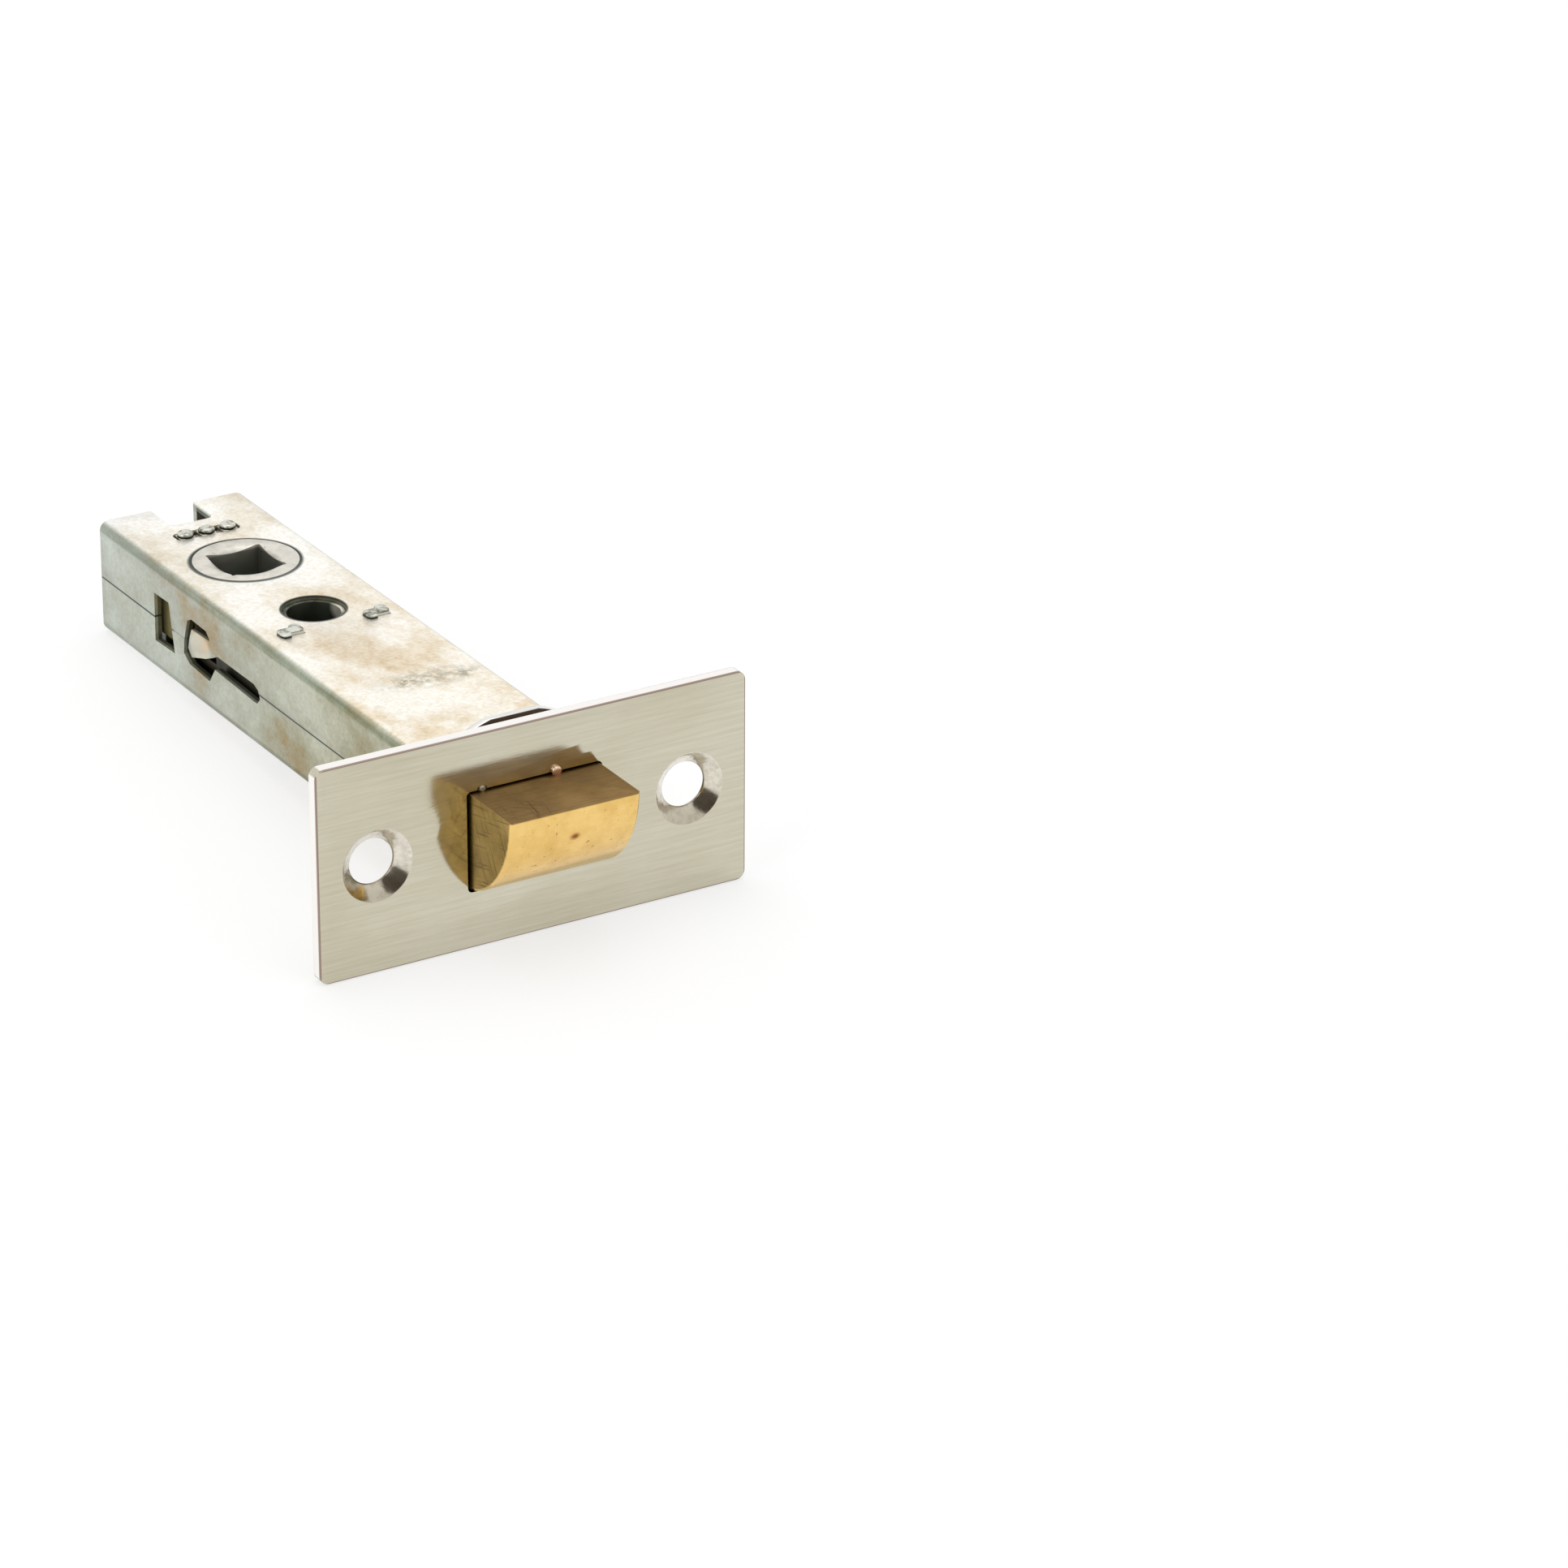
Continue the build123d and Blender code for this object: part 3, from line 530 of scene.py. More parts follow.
def slide_painted_shade(tree, tarnish, scratches):
    # Painted shade: the sliding faces are painted darker brown.
    colour = ramp(tree, tarnish, ((0.3, linear(130, 101, 60)), (0.65, linear(156, 125, 77))))
    lines = rising(tree, scratches, 0.52, 0.62, most=0.45)
    colour = blend_colours(tree, lines, colour, linear(104, 78, 42))
    filed_corner = mark(tree, (-5.4, -7.6, 6.5), (4.4, 3.6, 2.0), 0.4, 1.1)
    strokes = crossed_marks(tree, CORNER_STROKES, CORNER_STRETCH)
    strokes = multiply(tree, multiply(tree, strokes, filed_corner), 0.6)
    colour = blend_colours(tree, multiply(tree, filed_corner, 0.25), colour, linear(112, 84, 48))
    return blend_colours(tree, strokes, colour, linear(70, 52, 28))


# %% [markdown]
# The bolt wears all three: a darker brown of painted shade within a quarter of a millimetre of
# its wide faces, the filed and olive one at its ends, and the rubbed bevel's, with its painted
# highlight, everywhere else.

# %% Brass
def plain_brass():
    finish, tree, shader = new_finish("plain_brass", 1.0, 0.22)
    sideways, upright = from_middle(tree, "X"), from_middle(tree, "Z")
    end_face = rising(tree, sideways, BOLT_END_X - 0.12 * MM, BOLT_END_X - 0.04 * MM)
    sliding_face = rising(tree, upright, BOLT_TOP_Z - 0.25 * MM, BOLT_TOP_Z - 0.08 * MM)
    scratches = noise(tree, (8.0, 300.0, 300.0), 30.0, detail=5.0)
    tarnish = noise(tree, EVEN, 230.0, detail=5.0, roughness=0.65)
    slide_shade = slide_painted_shade(tree, tarnish, scratches)
    colour = blend_colours(tree, sliding_face, rubbed_bevel_and_painted_highlight(tree, tarnish), slide_shade)
    colour = blend_colours(tree, end_face, colour, filed_ends(tree, tarnish))
    dull = multiply(tree, larger(tree, end_face, multiply(tree, sliding_face, 1.3)), 0.12)
    roughness = combine(tree, "ADD", follow(tree, scratches, 0.16, 0.3), dull)
    complete(tree, shader, colour, roughness, scratches, 0.1)
    return finish


# %% [markdown]
# ## The plainer metals
# What lies inside the case is plated or spring steel. One recipe serves them all: a base
# colour broken up by a fine cloud of darker tarnish, with the roughness following it.

# %% Plain metals
def tarnished(tree, roughness, cloud):
    return follow(tree, cloud, roughness + 0.1, roughness - 0.05)


def plain_metal(name, light, dark, roughness, scale=220.0):
    finish, tree, shader = new_finish(name, 1.0, roughness)
    tarnish = noise(tree, EVEN, scale, detail=5.0)
    colour = ramp(tree, tarnish, ((0.32, dark), (0.62, light)))
    complete(tree, shader, colour, tarnished(tree, roughness, tarnish), tarnish, 0.1)
    return finish


# %% [markdown]
# The collar is turned from bar and bright zinc plated. Its front face, close behind the
# faceplate, is painted dark brown as shade.

# %% Collar zinc
def turned_zinc():
    finish, tree, shader = new_finish("turned_zinc", 0.8, 0.3)
    rings = noise(tree, (1.0, 12.0, 1.0), 200.0, detail=4.0)
    rim = ramp(tree, rings, ((0.32, linear(212, 211, 205)), (0.62, linear(240, 239, 235))))
    y = along(tree, "Y")
    # Painted shade: the front face, close behind the faceplate, is painted dark brown.
    front = falling(tree, y, COLLAR_FRONT_Y + 0.05 * MM, COLLAR_FRONT_Y + 0.15 * MM)
    colour = blend_colours(tree, front, rim, linear(88, 72, 64))
    complete(tree, shader, colour, follow(tree, rings, 0.4, 0.26), rings, 0.08)
    return finish


# %% [markdown]
# The follower is pressed from metal powder: pale and grainy outside, painted dark down the
# square hole as shade, and tan beyond its journal. The bush round the front fixing bolt is
# painted dark inside as shade too, with one pale patch on its wall as a painted highlight. Both
# take that painted shade inside a mark round their hole, below its mouth.

# %% Pieces with a dark hole
JOURNAL = (7.15, 7.15, 0.0)
MOUTH_DEPTH = 0.6 * MM


def holed_metal(name, light, dark, roughness, centre, reach, hole_painted_shade, lit_patch=None):
    finish, tree, shader = new_finish(name, 0.85, roughness)
    grain = noise(tree, EVEN, 700.0, detail=4.0)
    outside = ramp(tree, grain, ((0.32, dark), (0.6, light)))
    journal = mark(tree, centre, JOURNAL, 1.0, 1.03)
    outside = blend_colours(tree, journal, linear(118, 108, 74), outside)
    height = from_middle(tree, "Z")
    below_mouth = falling(tree, height, CASE_TOP_Z - MOUTH_DEPTH, CASE_TOP_Z - 0.3 * MOUTH_DEPTH)
    # Painted shade: dark inside the hole, below its mouth.
    hole = multiply(tree, mark(tree, centre, reach, 0.97, 1.0), below_mouth)
    colour = blend_colours(tree, hole, outside, hole_painted_shade)
    # Painted highlight: one pale patch on the bush's wall.
    if lit_patch:
        lit_patch_share = multiply(tree, mark(tree, lit_patch[0], lit_patch[1], 0.5, 1.1), 0.9)
        colour = blend_colours(tree, lit_patch_share, colour, linear(236, 232, 216))
    complete(tree, shader, colour, tarnished(tree, roughness, grain), grain, 0.12)
    return finish


# %% [markdown]
# Where lugs and bumps were struck, the plating is crushed and bright on the blow's face; the
# sides below it are painted dark as the shadow of the joint.

# %% Struck steel
STRUCK_TOP = 0.38 * MM


def struck_steel():
    finish, tree, shader = new_finish("struck_steel", 0.85, 0.36)
    height = from_middle(tree, "Z")
    face = rising(tree, height, CASE_TOP_Z + 0.5 * STRUCK_TOP, CASE_TOP_Z + STRUCK_TOP)
    crushed = noise(tree, EVEN, 900.0, detail=4.0)
    bright = ramp(tree, crushed, ((0.34, linear(96, 94, 76)), (0.54, linear(214, 214, 204))))
    # Painted shadow: the sides below the struck face are painted dark.
    colour = blend_colours(tree, face, linear(44, 46, 36), bright)
    roughness = follow(tree, crushed, 0.5, 0.3)
    complete(tree, shader, colour, roughness, crushed, 0.3, distance=0.03 * MM)
    return finish


# %% [markdown]
# The draw plates are yellow passivated. Ahead of the follower they are painted nearly black as
# shade inside the case; behind it they stay olive.

# %% Greased draw plates
SHADE_END = 73.5 * MM
SHADE_FADE = 1.0 * MM


def yellow_zinc_with_shade():
    finish, tree, shader = new_finish("yellow_zinc_painted_shade", 0.9, 0.4)
    tarnish = noise(tree, EVEN, 260.0, detail=5.0)
    olive_colour = ramp(tree, tarnish, ((0.32, linear(142, 130, 84)), (0.62, linear(196, 182, 128))))
    # Painted shade: ahead of the follower the plates are painted nearly black.
    shaded_colour = ramp(tree, tarnish, ((0.32, linear(30, 30, 22)), (0.62, linear(66, 62, 46))))
    behind = rising(tree, along(tree, "Y"), SHADE_END - SHADE_FADE, SHADE_END)
    colour = blend_colours(tree, behind, shaded_colour, olive_colour)
    complete(tree, shader, colour, follow(tree, tarnish, 0.5, 0.34), tarnish, 0.1)
    return finish


# %% [markdown]
# Now each finish is made once, and a list tells which piece of the latch wears which. Inside
# pieces that can hardly be seen share the plated steel.

# %% Make the finishes
NICKEL = satin_nickel()
ZINC = passivated_zinc("zinc_shells")
BRASS = plain_brass()
BRIGHT_ZINC = turned_zinc()
SINTERED = holed_metal(
    "sintered_steel", linear(222, 218, 208), linear(204, 200, 190), 0.4,
    (0.0, FOLLOWER_AT, 0.0), (5.7, 5.7, 0.0), linear(122, 122, 112),
)
BUSH_STEEL = holed_metal(
    "bush_steel", linear(168, 168, 150), linear(36, 40, 32), 0.4,
    (0.0, BUSH_AT, 0.0), (4.0, 4.0, 0.0), linear(62, 66, 56),
    lit_patch=((3.6, 57.3, 6.8), (1.4, 2.0, 1.7)),
)
YELLOW_ZINC = yellow_zinc_with_shade()
SPRING_STEEL = plain_metal("spring_steel", linear(176, 176, 172), linear(104, 104, 100), 0.3)
DARK_STEEL = plain_metal("dark_steel", linear(96, 94, 90), linear(48, 46, 44), 0.4)
PLATED_STEEL = plain_metal("plated_steel", linear(200, 196, 184), linear(130, 126, 110), 0.35)
STAKED_STEEL = struck_steel()
COPPER_FLASH = plain_metal(
    "copper_flash", linear(236, 206, 182), linear(184, 138, 108), 0.3, scale=900.0,
)
print("finishes made:", len(bpy.data.materials))

FINISH_OF = {
    "faceplate": NICKEL, "upper_case": ZINC, "lower_case": ZINC, "bore_collar": BRIGHT_ZINC,
    "latch_bolt": BRASS, "bolt_stem": PLATED_STEEL, "stem_pin": PLATED_STEEL,
    "stem_washer": PLATED_STEEL, "stem_circlip": DARK_STEEL, "bolt_spring": SPRING_STEEL,
    "crosshead": PLATED_STEEL, "left_draw_plate": YELLOW_ZINC, "right_draw_plate": YELLOW_ZINC,
    "draw_rivets": PLATED_STEEL, "return_spring": SPRING_STEEL, "spring_seat": PLATED_STEEL,
    "spring_wall": PLATED_STEEL, "through_bush": BUSH_STEEL, "follower": SINTERED,
    "rear_spacer": PLATED_STEEL,
}

# %% [markdown]
# The lead-in cones at the follower's mouths were struck, not cut, so they are shallower than
# the drawing's: on the dressed copy the curved edge between cone and square is lifted.

# %% Shallower lead-in
LEAD_KEPT = 0.6
LEAD_DEPTH = 0.83 * MM
LEAD_RADIUS = 5.75 * MM
MOUTH_PLANE = 0.01 * MM


def lift_lead(piece):
    lifted = 0
    for vertex in piece.data.vertices:
        depth = CASE_TOP_Z - abs(vertex.co.z)
        from_axis = math.hypot(vertex.co.x, vertex.co.y - FOLLOWER_AT * MM)
        if MOUTH_PLANE < depth < LEAD_DEPTH and from_axis < LEAD_RADIUS:
            side = 1 if vertex.co.z > 0 else -1
            vertex.co.z = side * (CASE_TOP_Z - LEAD_KEPT * depth)
            lifted += 1
    print("lifted", lifted, "points of the lead-in")


# %% [markdown]
# ## Fine edges
# Sheet and turned pieces have no razor edges. Each piece that keeps the CAD shape is a
# merged copy of its node with a narrow bevel on its sharp edges and smooth shading on the
# rest, so that edges catch the light as real ones do. Small pieces deep inside the case keep
# the node itself and only take a finish.

# %% Fine edges on the CAD shapes
# Bevel widths in mm.
EDGE_WIDTHS = {
    "faceplate": 0.18, "upper_case": 0.08, "lower_case": 0.08, "bore_collar": 0.2,
    "latch_bolt": 0.2, "follower": 0.12, "through_bush": 0.15, "rear_spacer": 0.15,
    "spring_wall": 0.15, "crosshead": 0.2, "left_draw_plate": 0.12, "right_draw_plate": 0.12,
}
MERGE_WITHIN = 0.002 * MM
FLAT_UNDER = math.radians(0.5)
EDGE_OVER = math.radians(40)
SMOOTH_UNDER = math.radians(32)


def body_that_holds(node):
    for body, nodes in frame["record"]["behaviour"]["bodies"].items():
        if node in nodes:
            return body
    return None


def bevel_edges(piece, width, segments, sharper_than):
    bevel = piece.modifiers.new("edges", "BEVEL")
    bevel.width = width
    bevel.segments = segments
    bevel.limit_method = "ANGLE"
    bevel.angle_limit = sharper_than
    bpy.ops.object.modifier_apply(modifier=bevel.name)


def dressed(node, edge_width, finish):
    bpy.ops.object.select_all(action="DESELECT")
    original = frame["nodes"][node]
    mesh = original.data.copy()
    piece = bpy.data.objects.new(node + "_piece", mesh)
    bpy.context.collection.objects.link(piece)
    mesh.transform(original.matrix_world)
    bpy.context.view_layer.objects.active = piece
    piece.select_set(True)
    bpy.ops.object.mode_set(mode="EDIT")
    bpy.ops.mesh.select_all(action="SELECT")
    bpy.ops.mesh.remove_doubles(threshold=MERGE_WITHIN)
    bpy.ops.mesh.dissolve_limited(angle_limit=FLAT_UNDER)
    bpy.ops.object.mode_set(mode="OBJECT")
    if node == "follower":
        lift_lead(piece)
    bevel_edges(piece, edge_width, 2, EDGE_OVER)
    bpy.ops.object.shade_smooth_by_angle(angle=SMOOTH_UNDER)
    piece.data.materials.clear()
    piece.data.materials.append(finish)
    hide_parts(node)
    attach(piece, body_that_holds(node))
    print(node, "has", len(piece.data.polygons), "faces")


for node, finish in FINISH_OF.items():
    if node in EDGE_WIDTHS:
        dressed(node, EDGE_WIDTHS[node] * MM, finish)
    else:
        for entry in frame["nodes"][node].material_slots:
            entry.material = finish

# %% [markdown]
# ## The two springs
# A coil spring is one wire wound on an arbor. Here the wire's round section is placed beside
# the axis and the Screw modifier winds it, which is the same motion. Its two ends are closed
# with a face each. Both springs shorten as the latch works; each is attached to the body that holds
# it.

# %% Wind a spring
WIRE_SIDES = 16
STEPS_A_TURN = 40
WIRE_SMOOTH_UNDER = math.radians(50)


def spring(node, turns, wire_radius):
    low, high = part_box(node)
    coil_radius = high[0] - wire_radius
    length = high[1] - low[1] - 2 * wire_radius
    bpy.ops.object.select_all(action="DESELECT")
    bpy.ops.mesh.primitive_circle_add(
        vertices=WIRE_SIDES, radius=wire_radius, fill_type="NOTHING",
        location=(coil_radius, low[1] + wire_radius, 0.0),
    )
    piece = bpy.context.object
    piece.name = node + "_piece"
    bpy.ops.object.transform_apply(location=True, rotation=True, scale=True)
    winding = piece.modifiers.new("winding", "SCREW")
    winding.axis = "Y"
    winding.angle = 2 * math.pi
    winding.screw_offset = length / turns
    winding.iterations = turns
    winding.steps = STEPS_A_TURN
    winding.render_steps = STEPS_A_TURN
    bpy.ops.object.modifier_apply(modifier=winding.name)
    bpy.ops.object.mode_set(mode="EDIT")
    bpy.ops.mesh.select_all(action="SELECT")
    bpy.ops.mesh.remove_doubles(threshold=0.5 * MERGE_WITHIN)
    bpy.ops.mesh.select_all(action="DESELECT")
    bpy.ops.mesh.select_non_manifold()
    bpy.ops.mesh.fill_holes(sides=WIRE_SIDES)
    bpy.ops.mesh.select_all(action="SELECT")
    bpy.ops.mesh.normals_make_consistent(inside=False)
    bpy.ops.object.mode_set(mode="OBJECT")
    bpy.ops.object.shade_smooth_by_angle(angle=WIRE_SMOOTH_UNDER)
    piece.data.materials.append(SPRING_STEEL)
    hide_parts(node)
    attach(piece, body_that_holds(node))
    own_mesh(piece)


# %% [markdown]
# Each spring is anchored where its resting end leans: the strong one on the seat in front
# of the spring wall, the light one on the crosshead that travels with the draw plates.

# %% The springs in place
spring("return_spring", 5, 0.65 * MM)
spring("bolt_spring", 6, 0.4 * MM)

# %% [markdown]
# ## Staked lugs
# The spring wall's four lugs come through slots in the shells and are staked: the punch
# splits each end and pushes one half forward and the other back, which leaves an S. One is
# made from a block whose two halves are pushed apart and rounded, and the rest are copies.

# %% One staked lug
# How far each push goes out along X, how far sideways, and how wide it leaves the end.
LUG_BLOCK = (0.56 * MM, 1.6 * MM, 0.8 * MM)
LUG_PUSHES = (
    (0.25 * MM, 0.38 * MM, 1.5),
    (0.96 * MM, 0.05 * MM, 1.0),
    (0.33 * MM, 0.0, 0.5),
)
LUG_CROWN_INSET = 0.2 * MM
LUG_CROWN_RISE = 0.12 * MM
LUG_EDGE = 0.16 * MM
# A face looks along an axis when its normal has more than this along it.
FACING = 0.9


def keep_at_origin(piece):
    bpy.ops.object.select_all(action="DESELECT")
    piece.select_set(True)
    bpy.context.view_layer.objects.active = piece
    bpy.ops.object.transform_apply(location=True, rotation=True, scale=True)


def select_faces(piece, wanted):
    bpy.ops.object.mode_set(mode="EDIT")
    bpy.ops.mesh.select_all(action="DESELECT")
    bpy.ops.object.mode_set(mode="OBJECT")
    for face in piece.data.polygons:
        face.select = wanted(face.center, face.normal)
    bpy.ops.object.mode_set(mode="EDIT")


def push_lobe(piece, way, out, sideways, width_factor):
    end = max(v.co.x * way for v in piece.data.vertices) * way
    select_faces(piece, lambda centre, normal: abs(centre.x - end) < 0.01 * MM)
    bpy.ops.mesh.extrude_region_move(
        TRANSFORM_OT_translate={"value": (way * out, way * sideways, 0)})
    bpy.ops.transform.resize(value=(1.0, width_factor, 1.0))
    bpy.ops.object.mode_set(mode="OBJECT")


bpy.ops.object.select_all(action="DESELECT")
bpy.ops.mesh.primitive_cube_add(size=1.0)
stake = bpy.context.object
stake.scale = LUG_BLOCK
keep_at_origin(stake)
for way in (-1, 1):
    for out, sideways, width_factor in LUG_PUSHES:
        push_lobe(stake, way, out, sideways, width_factor)
select_faces(stake, lambda centre, normal: normal.z > FACING)
bpy.ops.mesh.inset(thickness=LUG_CROWN_INSET)
bpy.ops.transform.translate(value=(0, 0, LUG_CROWN_RISE))
bpy.ops.object.mode_set(mode="OBJECT")
bevel_edges(stake, LUG_EDGE, 3, math.radians(25))
bpy.ops.object.shade_smooth_by_angle(angle=math.radians(40))
stake.data.materials.append(STAKED_STEEL)
print("a staked lug has", len(stake.data.polygons), "faces")

# %% [markdown]
# The wall reaches from shell to shell, so each lug above has a twin below, which is the same
# shape turned over. The same helper later places the spacer's bumps.

# %% The four staked lugs
WALL_FRONT_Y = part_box("spring_wall")[0][1]
STAKE_X = 6.2 * MM
STAKE_BEHIND_WALL_FRONT = 1.05 * MM
STAKE_PROUD = 0.48 * MM


def copy_to_both_sides(model, name, places, proud):
    """Stand the model, then copies of it, on the case's top and bottom at each place."""
    shape = model.data.copy()
    top = max(v.co.z for v in shape.vertices)
    number = 0
    for x, y in places:
        for side in (1, -1):
            number += 1
            piece = model
            if number > 1:
                piece = bpy.data.objects.new(name, shape)
                bpy.context.collection.objects.link(piece)
            piece.data = shape.copy()
            facing = Matrix.Rotation(0 if side > 0 else math.pi, 4, "Y")
            lift = side * (CASE_TOP_Z + proud - top)
            piece.data.transform(Matrix.Translation((x, y, lift)) @ facing)
            piece.name = name + "_" + str(number)
            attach(piece, "case")
    print(name, "stands at", number, "places, with", len(shape.polygons), "faces at each")


stake_y = WALL_FRONT_Y + STAKE_BEHIND_WALL_FRONT
copy_to_both_sides(
    stake, "staked_lug", [(-STAKE_X, stake_y), (STAKE_X, stake_y)], STAKE_PROUD,
)

# %% [markdown]
# ## Rear spacer's bumps
# The spacer's lug was notched into three teeth, and the punch has spread each into a rounded
# bump that grips the shell. One bump is a short post, narrowed and rounded, then copied.

# %% The bumps
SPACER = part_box("rear_spacer")
BUMP_Y = (SPACER[0][1] + SPACER[1][1]) / 2
BUMP_STEP = 3.1 * MM
BUMP_PROUD = 0.6 * MM
BUMP_RADIUS = 1.18 * MM
BUMP_DEPTH = 0.9 * MM
BUMP_INSET = 0.3 * MM
BUMP_CROWN_RISE = 0.22 * MM
BUMP_DIMPLE = 0.1 * MM
ROUND_SIDES = 16


def round_all_over(piece):
    rounding = piece.modifiers.new("rounding", "SUBSURF")
    rounding.levels = 2
    rounding.render_levels = 2
    bpy.ops.object.modifier_apply(modifier=rounding.name)
    bpy.ops.object.shade_smooth()


bpy.ops.object.select_all(action="DESELECT")
bpy.ops.mesh.primitive_cylinder_add(vertices=ROUND_SIDES, radius=BUMP_RADIUS, depth=BUMP_DEPTH)
bump = bpy.context.object
keep_at_origin(bump)
select_faces(bump, lambda centre, normal: normal.z > FACING)
bpy.ops.mesh.inset(thickness=BUMP_INSET)
bpy.ops.transform.translate(value=(0, 0, BUMP_CROWN_RISE))
bpy.ops.mesh.inset(thickness=BUMP_INSET)
bpy.ops.transform.translate(value=(0, 0, -BUMP_DIMPLE))
bpy.ops.object.mode_set(mode="OBJECT")
round_all_over(bump)
bump.data.materials.append(STAKED_STEEL)
copy_to_both_sides(
    bump, "spacer_bump", [(step * BUMP_STEP, BUMP_Y) for step in (-1, 0, 1)], BUMP_PROUD,
)

# %% [markdown]
# ## Lug ends in the faceplate
# The two front lugs of the upper shell end in the faceplate's notches, peened to small beads.
# The right one was hit harder and shows copper through its plating; the left one is smaller.

# %% Peened lug ends
def peened_end(name, x, z, radius, rise, finish):
    bpy.ops.object.select_all(action="DESELECT")
    bpy.ops.mesh.primitive_cylinder_add(
        vertices=ROUND_SIDES, radius=radius, depth=2 * rise, location=(x, 0.0, z),
        rotation=(math.radians(90), 0, 0),
    )
    bead = bpy.context.object
    bead.name = name
    keep_at_origin(bead)
    select_faces(bead, lambda centre, normal: normal.y < -FACING)
    bpy.ops.mesh.inset(thickness=0.35 * radius)
    bpy.ops.transform.translate(value=(0, -0.5 * rise, 0))
    bpy.ops.object.mode_set(mode="OBJECT")
    round_all_over(bead)
    bead.data.materials.append(finish)
    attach(bead, "case")
    print(name, "has", len(bead.data.polygons), "faces")


peened_end("right_lug_end", 3.0 * MM, 6.86 * MM, 0.72 * MM, 0.3 * MM, COPPER_FLASH)
peened_end("left_lug_end", -7.3 * MM, 6.84 * MM, 0.42 * MM, 0.1 * MM, PLATED_STEEL)

# %% [markdown]
# ## Floor, light and camera
# The latch rests on the lower edge of its faceplate and on the rear edge of its case, so the
# floor is tilted to touch both. The light is soft and comes from large lamps. The paper glows
# by itself for the eye and for the mirror of the metal, and so does the world: the surround
# is white, while the floor still takes the latch's soft shadow.

# %% Floor
FLOOR_SIZE = 2.4
GLOW_SHARE = 0.65
PURE_WHITE = (1.0, 1.0, 1.0, 1.0)


def seen_by_eye(tree):
    """1 for rays from the camera, from a mirror or through glass, 0 for the room's light."""
    path = tree.nodes.new("ShaderNodeLightPath")
    direct = larger(tree, path.outputs["Is Camera Ray"], path.outputs["Is Glossy Ray"])
    return larger(tree, direct, path.outputs["Is Transmission Ray"])


front_rest = Vector((0, PLATE_BACK_Y, PLATE[0][2]))
rear_rest = Vector((0, CASE_REAR_Y, -CASE_TOP_Z))
rise = rear_rest - front_rest
floor_tilt = math.atan(rise.z / rise.y)
bpy.ops.object.select_all(action="DESELECT")
bpy.ops.mesh.primitive_plane_add(size=FLOOR_SIZE)
floor = bpy.context.object
floor.name = "floor"
middle = Matrix.Translation((front_rest + rear_rest) / 2)
floor.data.transform(middle @ Matrix.Rotation(floor_tilt, 4, "X"))

paper, paper_tree, paper_shader = new_finish("white_paper", 0.0, 0.9)
paper_shader.inputs["Base Color"].default_value = (0.97, 0.97, 0.97, 1.0)
glow = paper_tree.nodes.new("ShaderNodeEmission")
glow.inputs["Color"].default_value = PURE_WHITE
glow.inputs["Strength"].default_value = 1.0
paper_mix = paper_tree.nodes.new("ShaderNodeMixShader")
glow_share = multiply(paper_tree, seen_by_eye(paper_tree), GLOW_SHARE)
paper_tree.links.new(glow_share, paper_mix.inputs[0])
paper_tree.links.new(paper_shader.outputs["BSDF"], paper_mix.inputs[1])
paper_tree.links.new(glow.outputs["Emission"], paper_mix.inputs[2])
paper_out = paper_tree.nodes["Material Output"]
paper_tree.links.new(paper_mix.outputs["Shader"], paper_out.inputs["Surface"])
floor.data.materials.append(paper)
print("the floor tilts", round(math.degrees(floor_tilt), 2), "degrees")

# %% [markdown]
# The world lights the latch a little below full white, but looks pure white wherever the
# eye or a mirroring face meets it.

# %% World
WORLD_LIGHT = 0.95
WORLD_SEEN = 1.0
world = bpy.data.worlds.new("studio")
bpy.context.scene.world = world
world.use_nodes = True
sky = world.node_tree
background = sky.nodes["Background"]
background.inputs["Color"].default_value = PURE_WHITE
strength = number_map(sky, seen_by_eye(sky), 0.0, 1.0, WORLD_LIGHT, WORLD_SEEN)
sky.links.new(strength, background.inputs["Strength"])
print("the world is white, seen at strength", WORLD_SEEN)

# %% [markdown]
# Behind the camera the room is dark. It shows only where the metal looks back at the camera,
# in the lower right of each polished screw cone. A dark card outside the picture stands for it.

# %% Dark card
def direction(azimuth, elevation):
    azimuth, elevation = math.radians(azimuth), math.radians(elevation)
    return Vector((
        math.sin(azimuth) * math.cos(elevation),
        -math.cos(azimuth) * math.cos(elevation),
        math.sin(elevation),
    ))


black_card, card_tree, card_shader = new_finish("black_card", 0.0, 1.0)
card_shader.inputs["Base Color"].default_value = (0.1, 0.085, 0.07, 1.0)
card_shader.inputs["Specular IOR Level"].default_value = 0.0


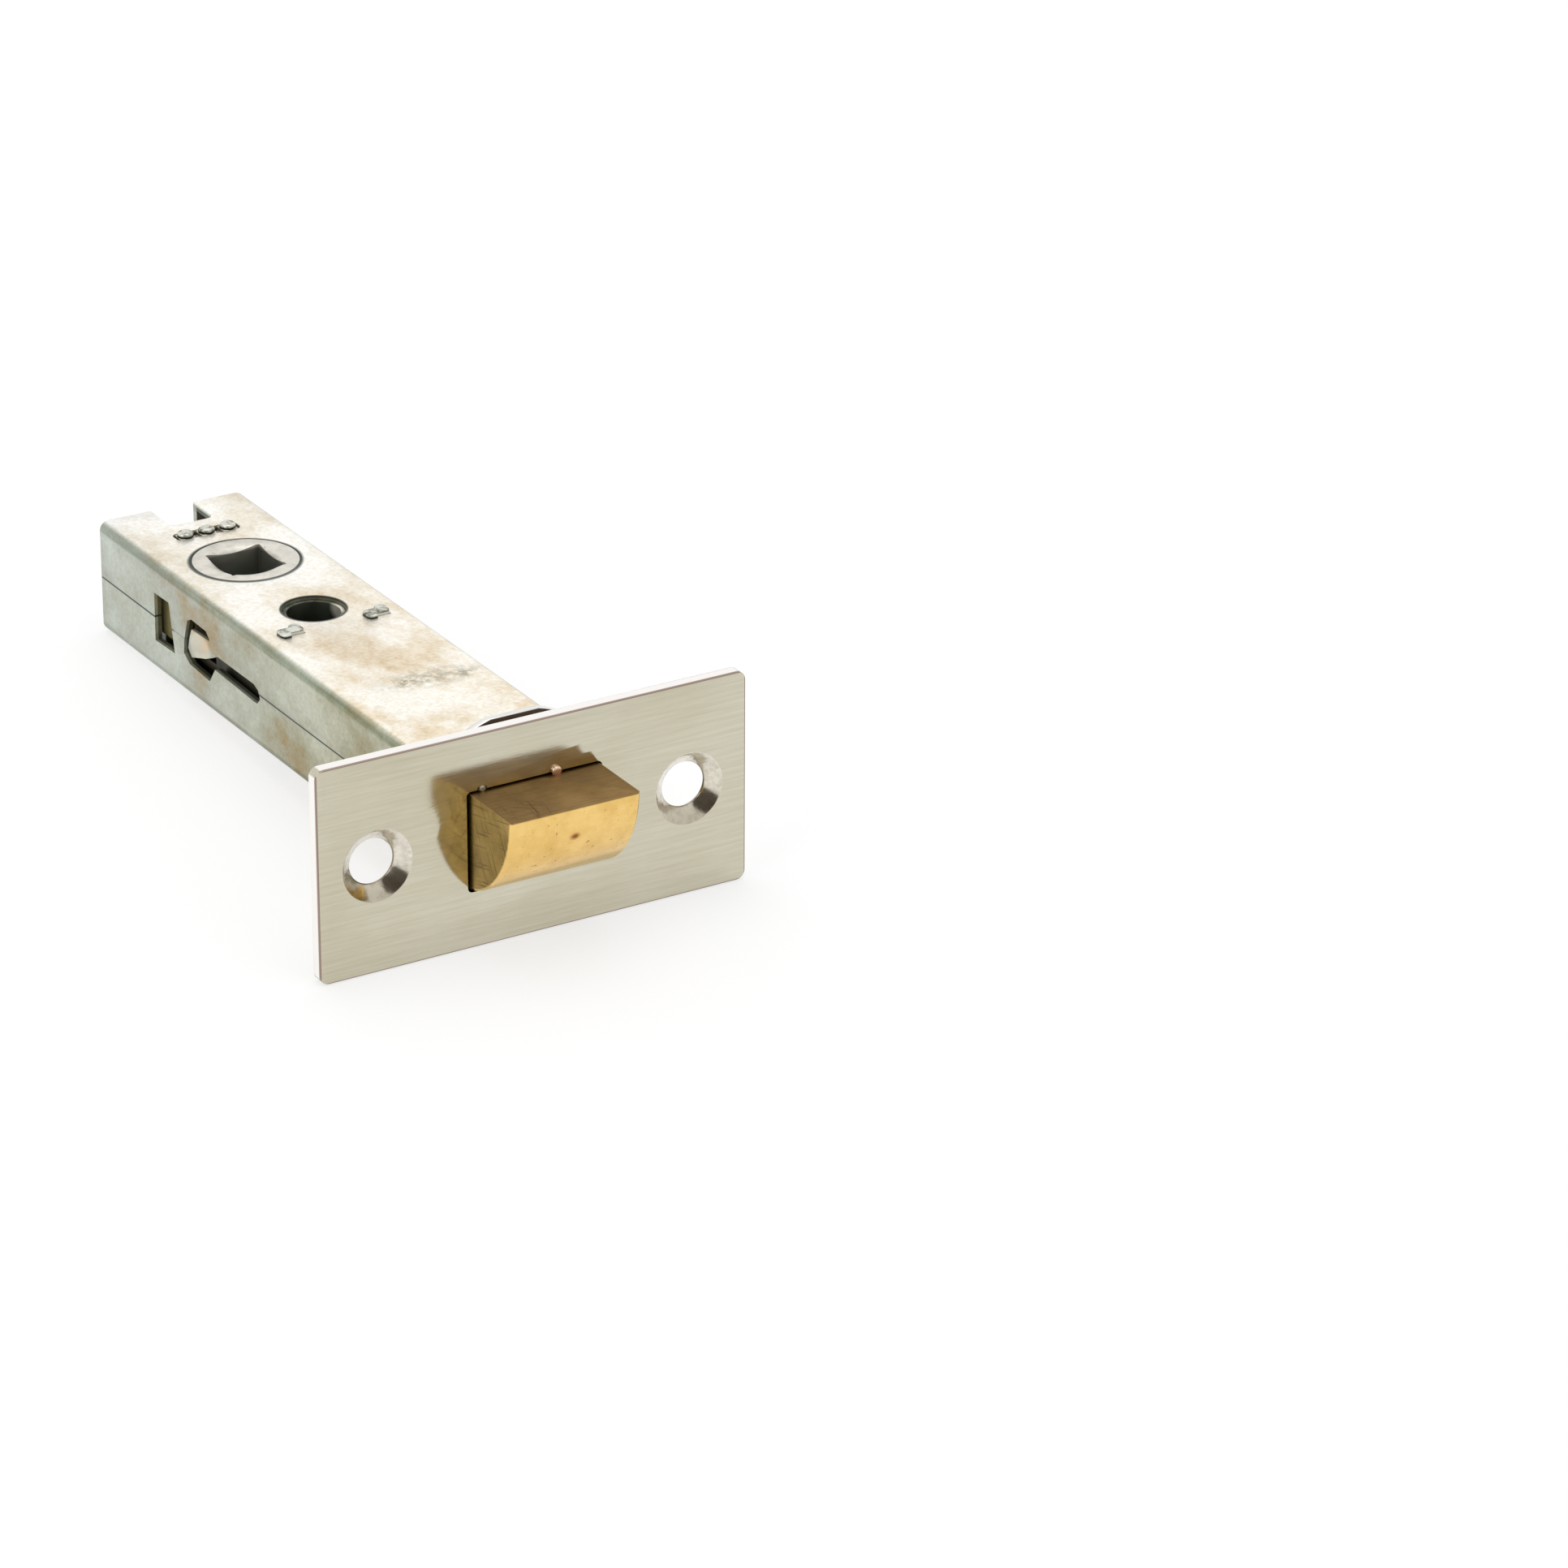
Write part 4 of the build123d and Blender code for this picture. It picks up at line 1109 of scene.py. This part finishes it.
def dark_card(name, way, distance, width, height):
    bpy.ops.object.select_all(action="DESELECT")
    bpy.ops.mesh.primitive_plane_add(size=1.0)
    card = bpy.context.object
    card.name = name
    card.data.transform(
        Matrix.Translation(way * distance)
        @ way.to_track_quat("Z", "Y").to_matrix().to_4x4()
        @ Matrix.Diagonal((width, height, 1.0, 1.0))
    )
    card.data.materials.append(black_card)
    print(name, "stands at", [round(v, 2) for v in way * distance])


dark_card("dark_behind_camera", direction(-36, 32), 1.0, 0.9, 1.05)

# %% [markdown]
# A large lamp stands to the left and ahead of the latch and a larger one hangs over it, so
# that every edge shines softly and no shadow is hard.

# %% Lamps
AIM = Vector((0.0, 0.04, 0.0))


def soft_lamp(name, place, size, power):
    lamp = bpy.data.lights.new(name, "AREA")
    lamp.size = size
    lamp.energy = power
    holder = bpy.data.objects.new(name, lamp)
    bpy.context.collection.objects.link(holder)
    holder.location = place
    holder.rotation_euler = (AIM - Vector(place)).to_track_quat("-Z", "Y").to_euler()
    print(name, "lamp is", size, "m wide and gives", power, "W")


soft_lamp("left", (-0.75, -0.2, 0.55), 0.5, 1.8)
soft_lamp("overhead", (0.05, 0.1, 0.95), 0.8, 2.0)

# %% [markdown]
# The camera stands where the photograph's stood: its direction, distance and lens were
# worked out from the corners and holes of the case and the faceplate.

# %% Camera
# Angles in degrees, the sensor in mm.
AZIMUTH = -31.594
ELEVATION = 24.596
ROLL = 0.344
TARGET = Vector((13.136, -36.665, 17.090)) * MM
DISTANCE = 783.363 * MM
FOCAL_PIXELS = 8182.688
SENSOR = 36.0
back = direction(AZIMUTH, ELEVATION)
level_right = Vector((0, 0, 1)).cross(back).normalized()
level_up = back.cross(level_right)
roll = math.radians(ROLL)
picture_right = level_right * math.cos(roll) + level_up * math.sin(roll)
picture_up = level_up * math.cos(roll) - level_right * math.sin(roll)
lens = bpy.data.cameras.new("camera")
lens.sensor_width = SENSOR
lens.lens = FOCAL_PIXELS / PHOTO_PIXELS * SENSOR
lens.clip_start = 0.01
camera = bpy.data.objects.new("camera", lens)
bpy.context.collection.objects.link(camera)
view_axes = Matrix((picture_right, picture_up, back)).transposed()
camera.matrix_world = Matrix.Translation(TARGET + back * DISTANCE) @ view_axes.to_4x4()
bpy.context.scene.camera = camera
bpy.context.scene.view_settings.view_transform = "Standard"
print("lens", round(lens.lens, 1), "mm")

# %% Finish
bpy.context.view_layer.update()
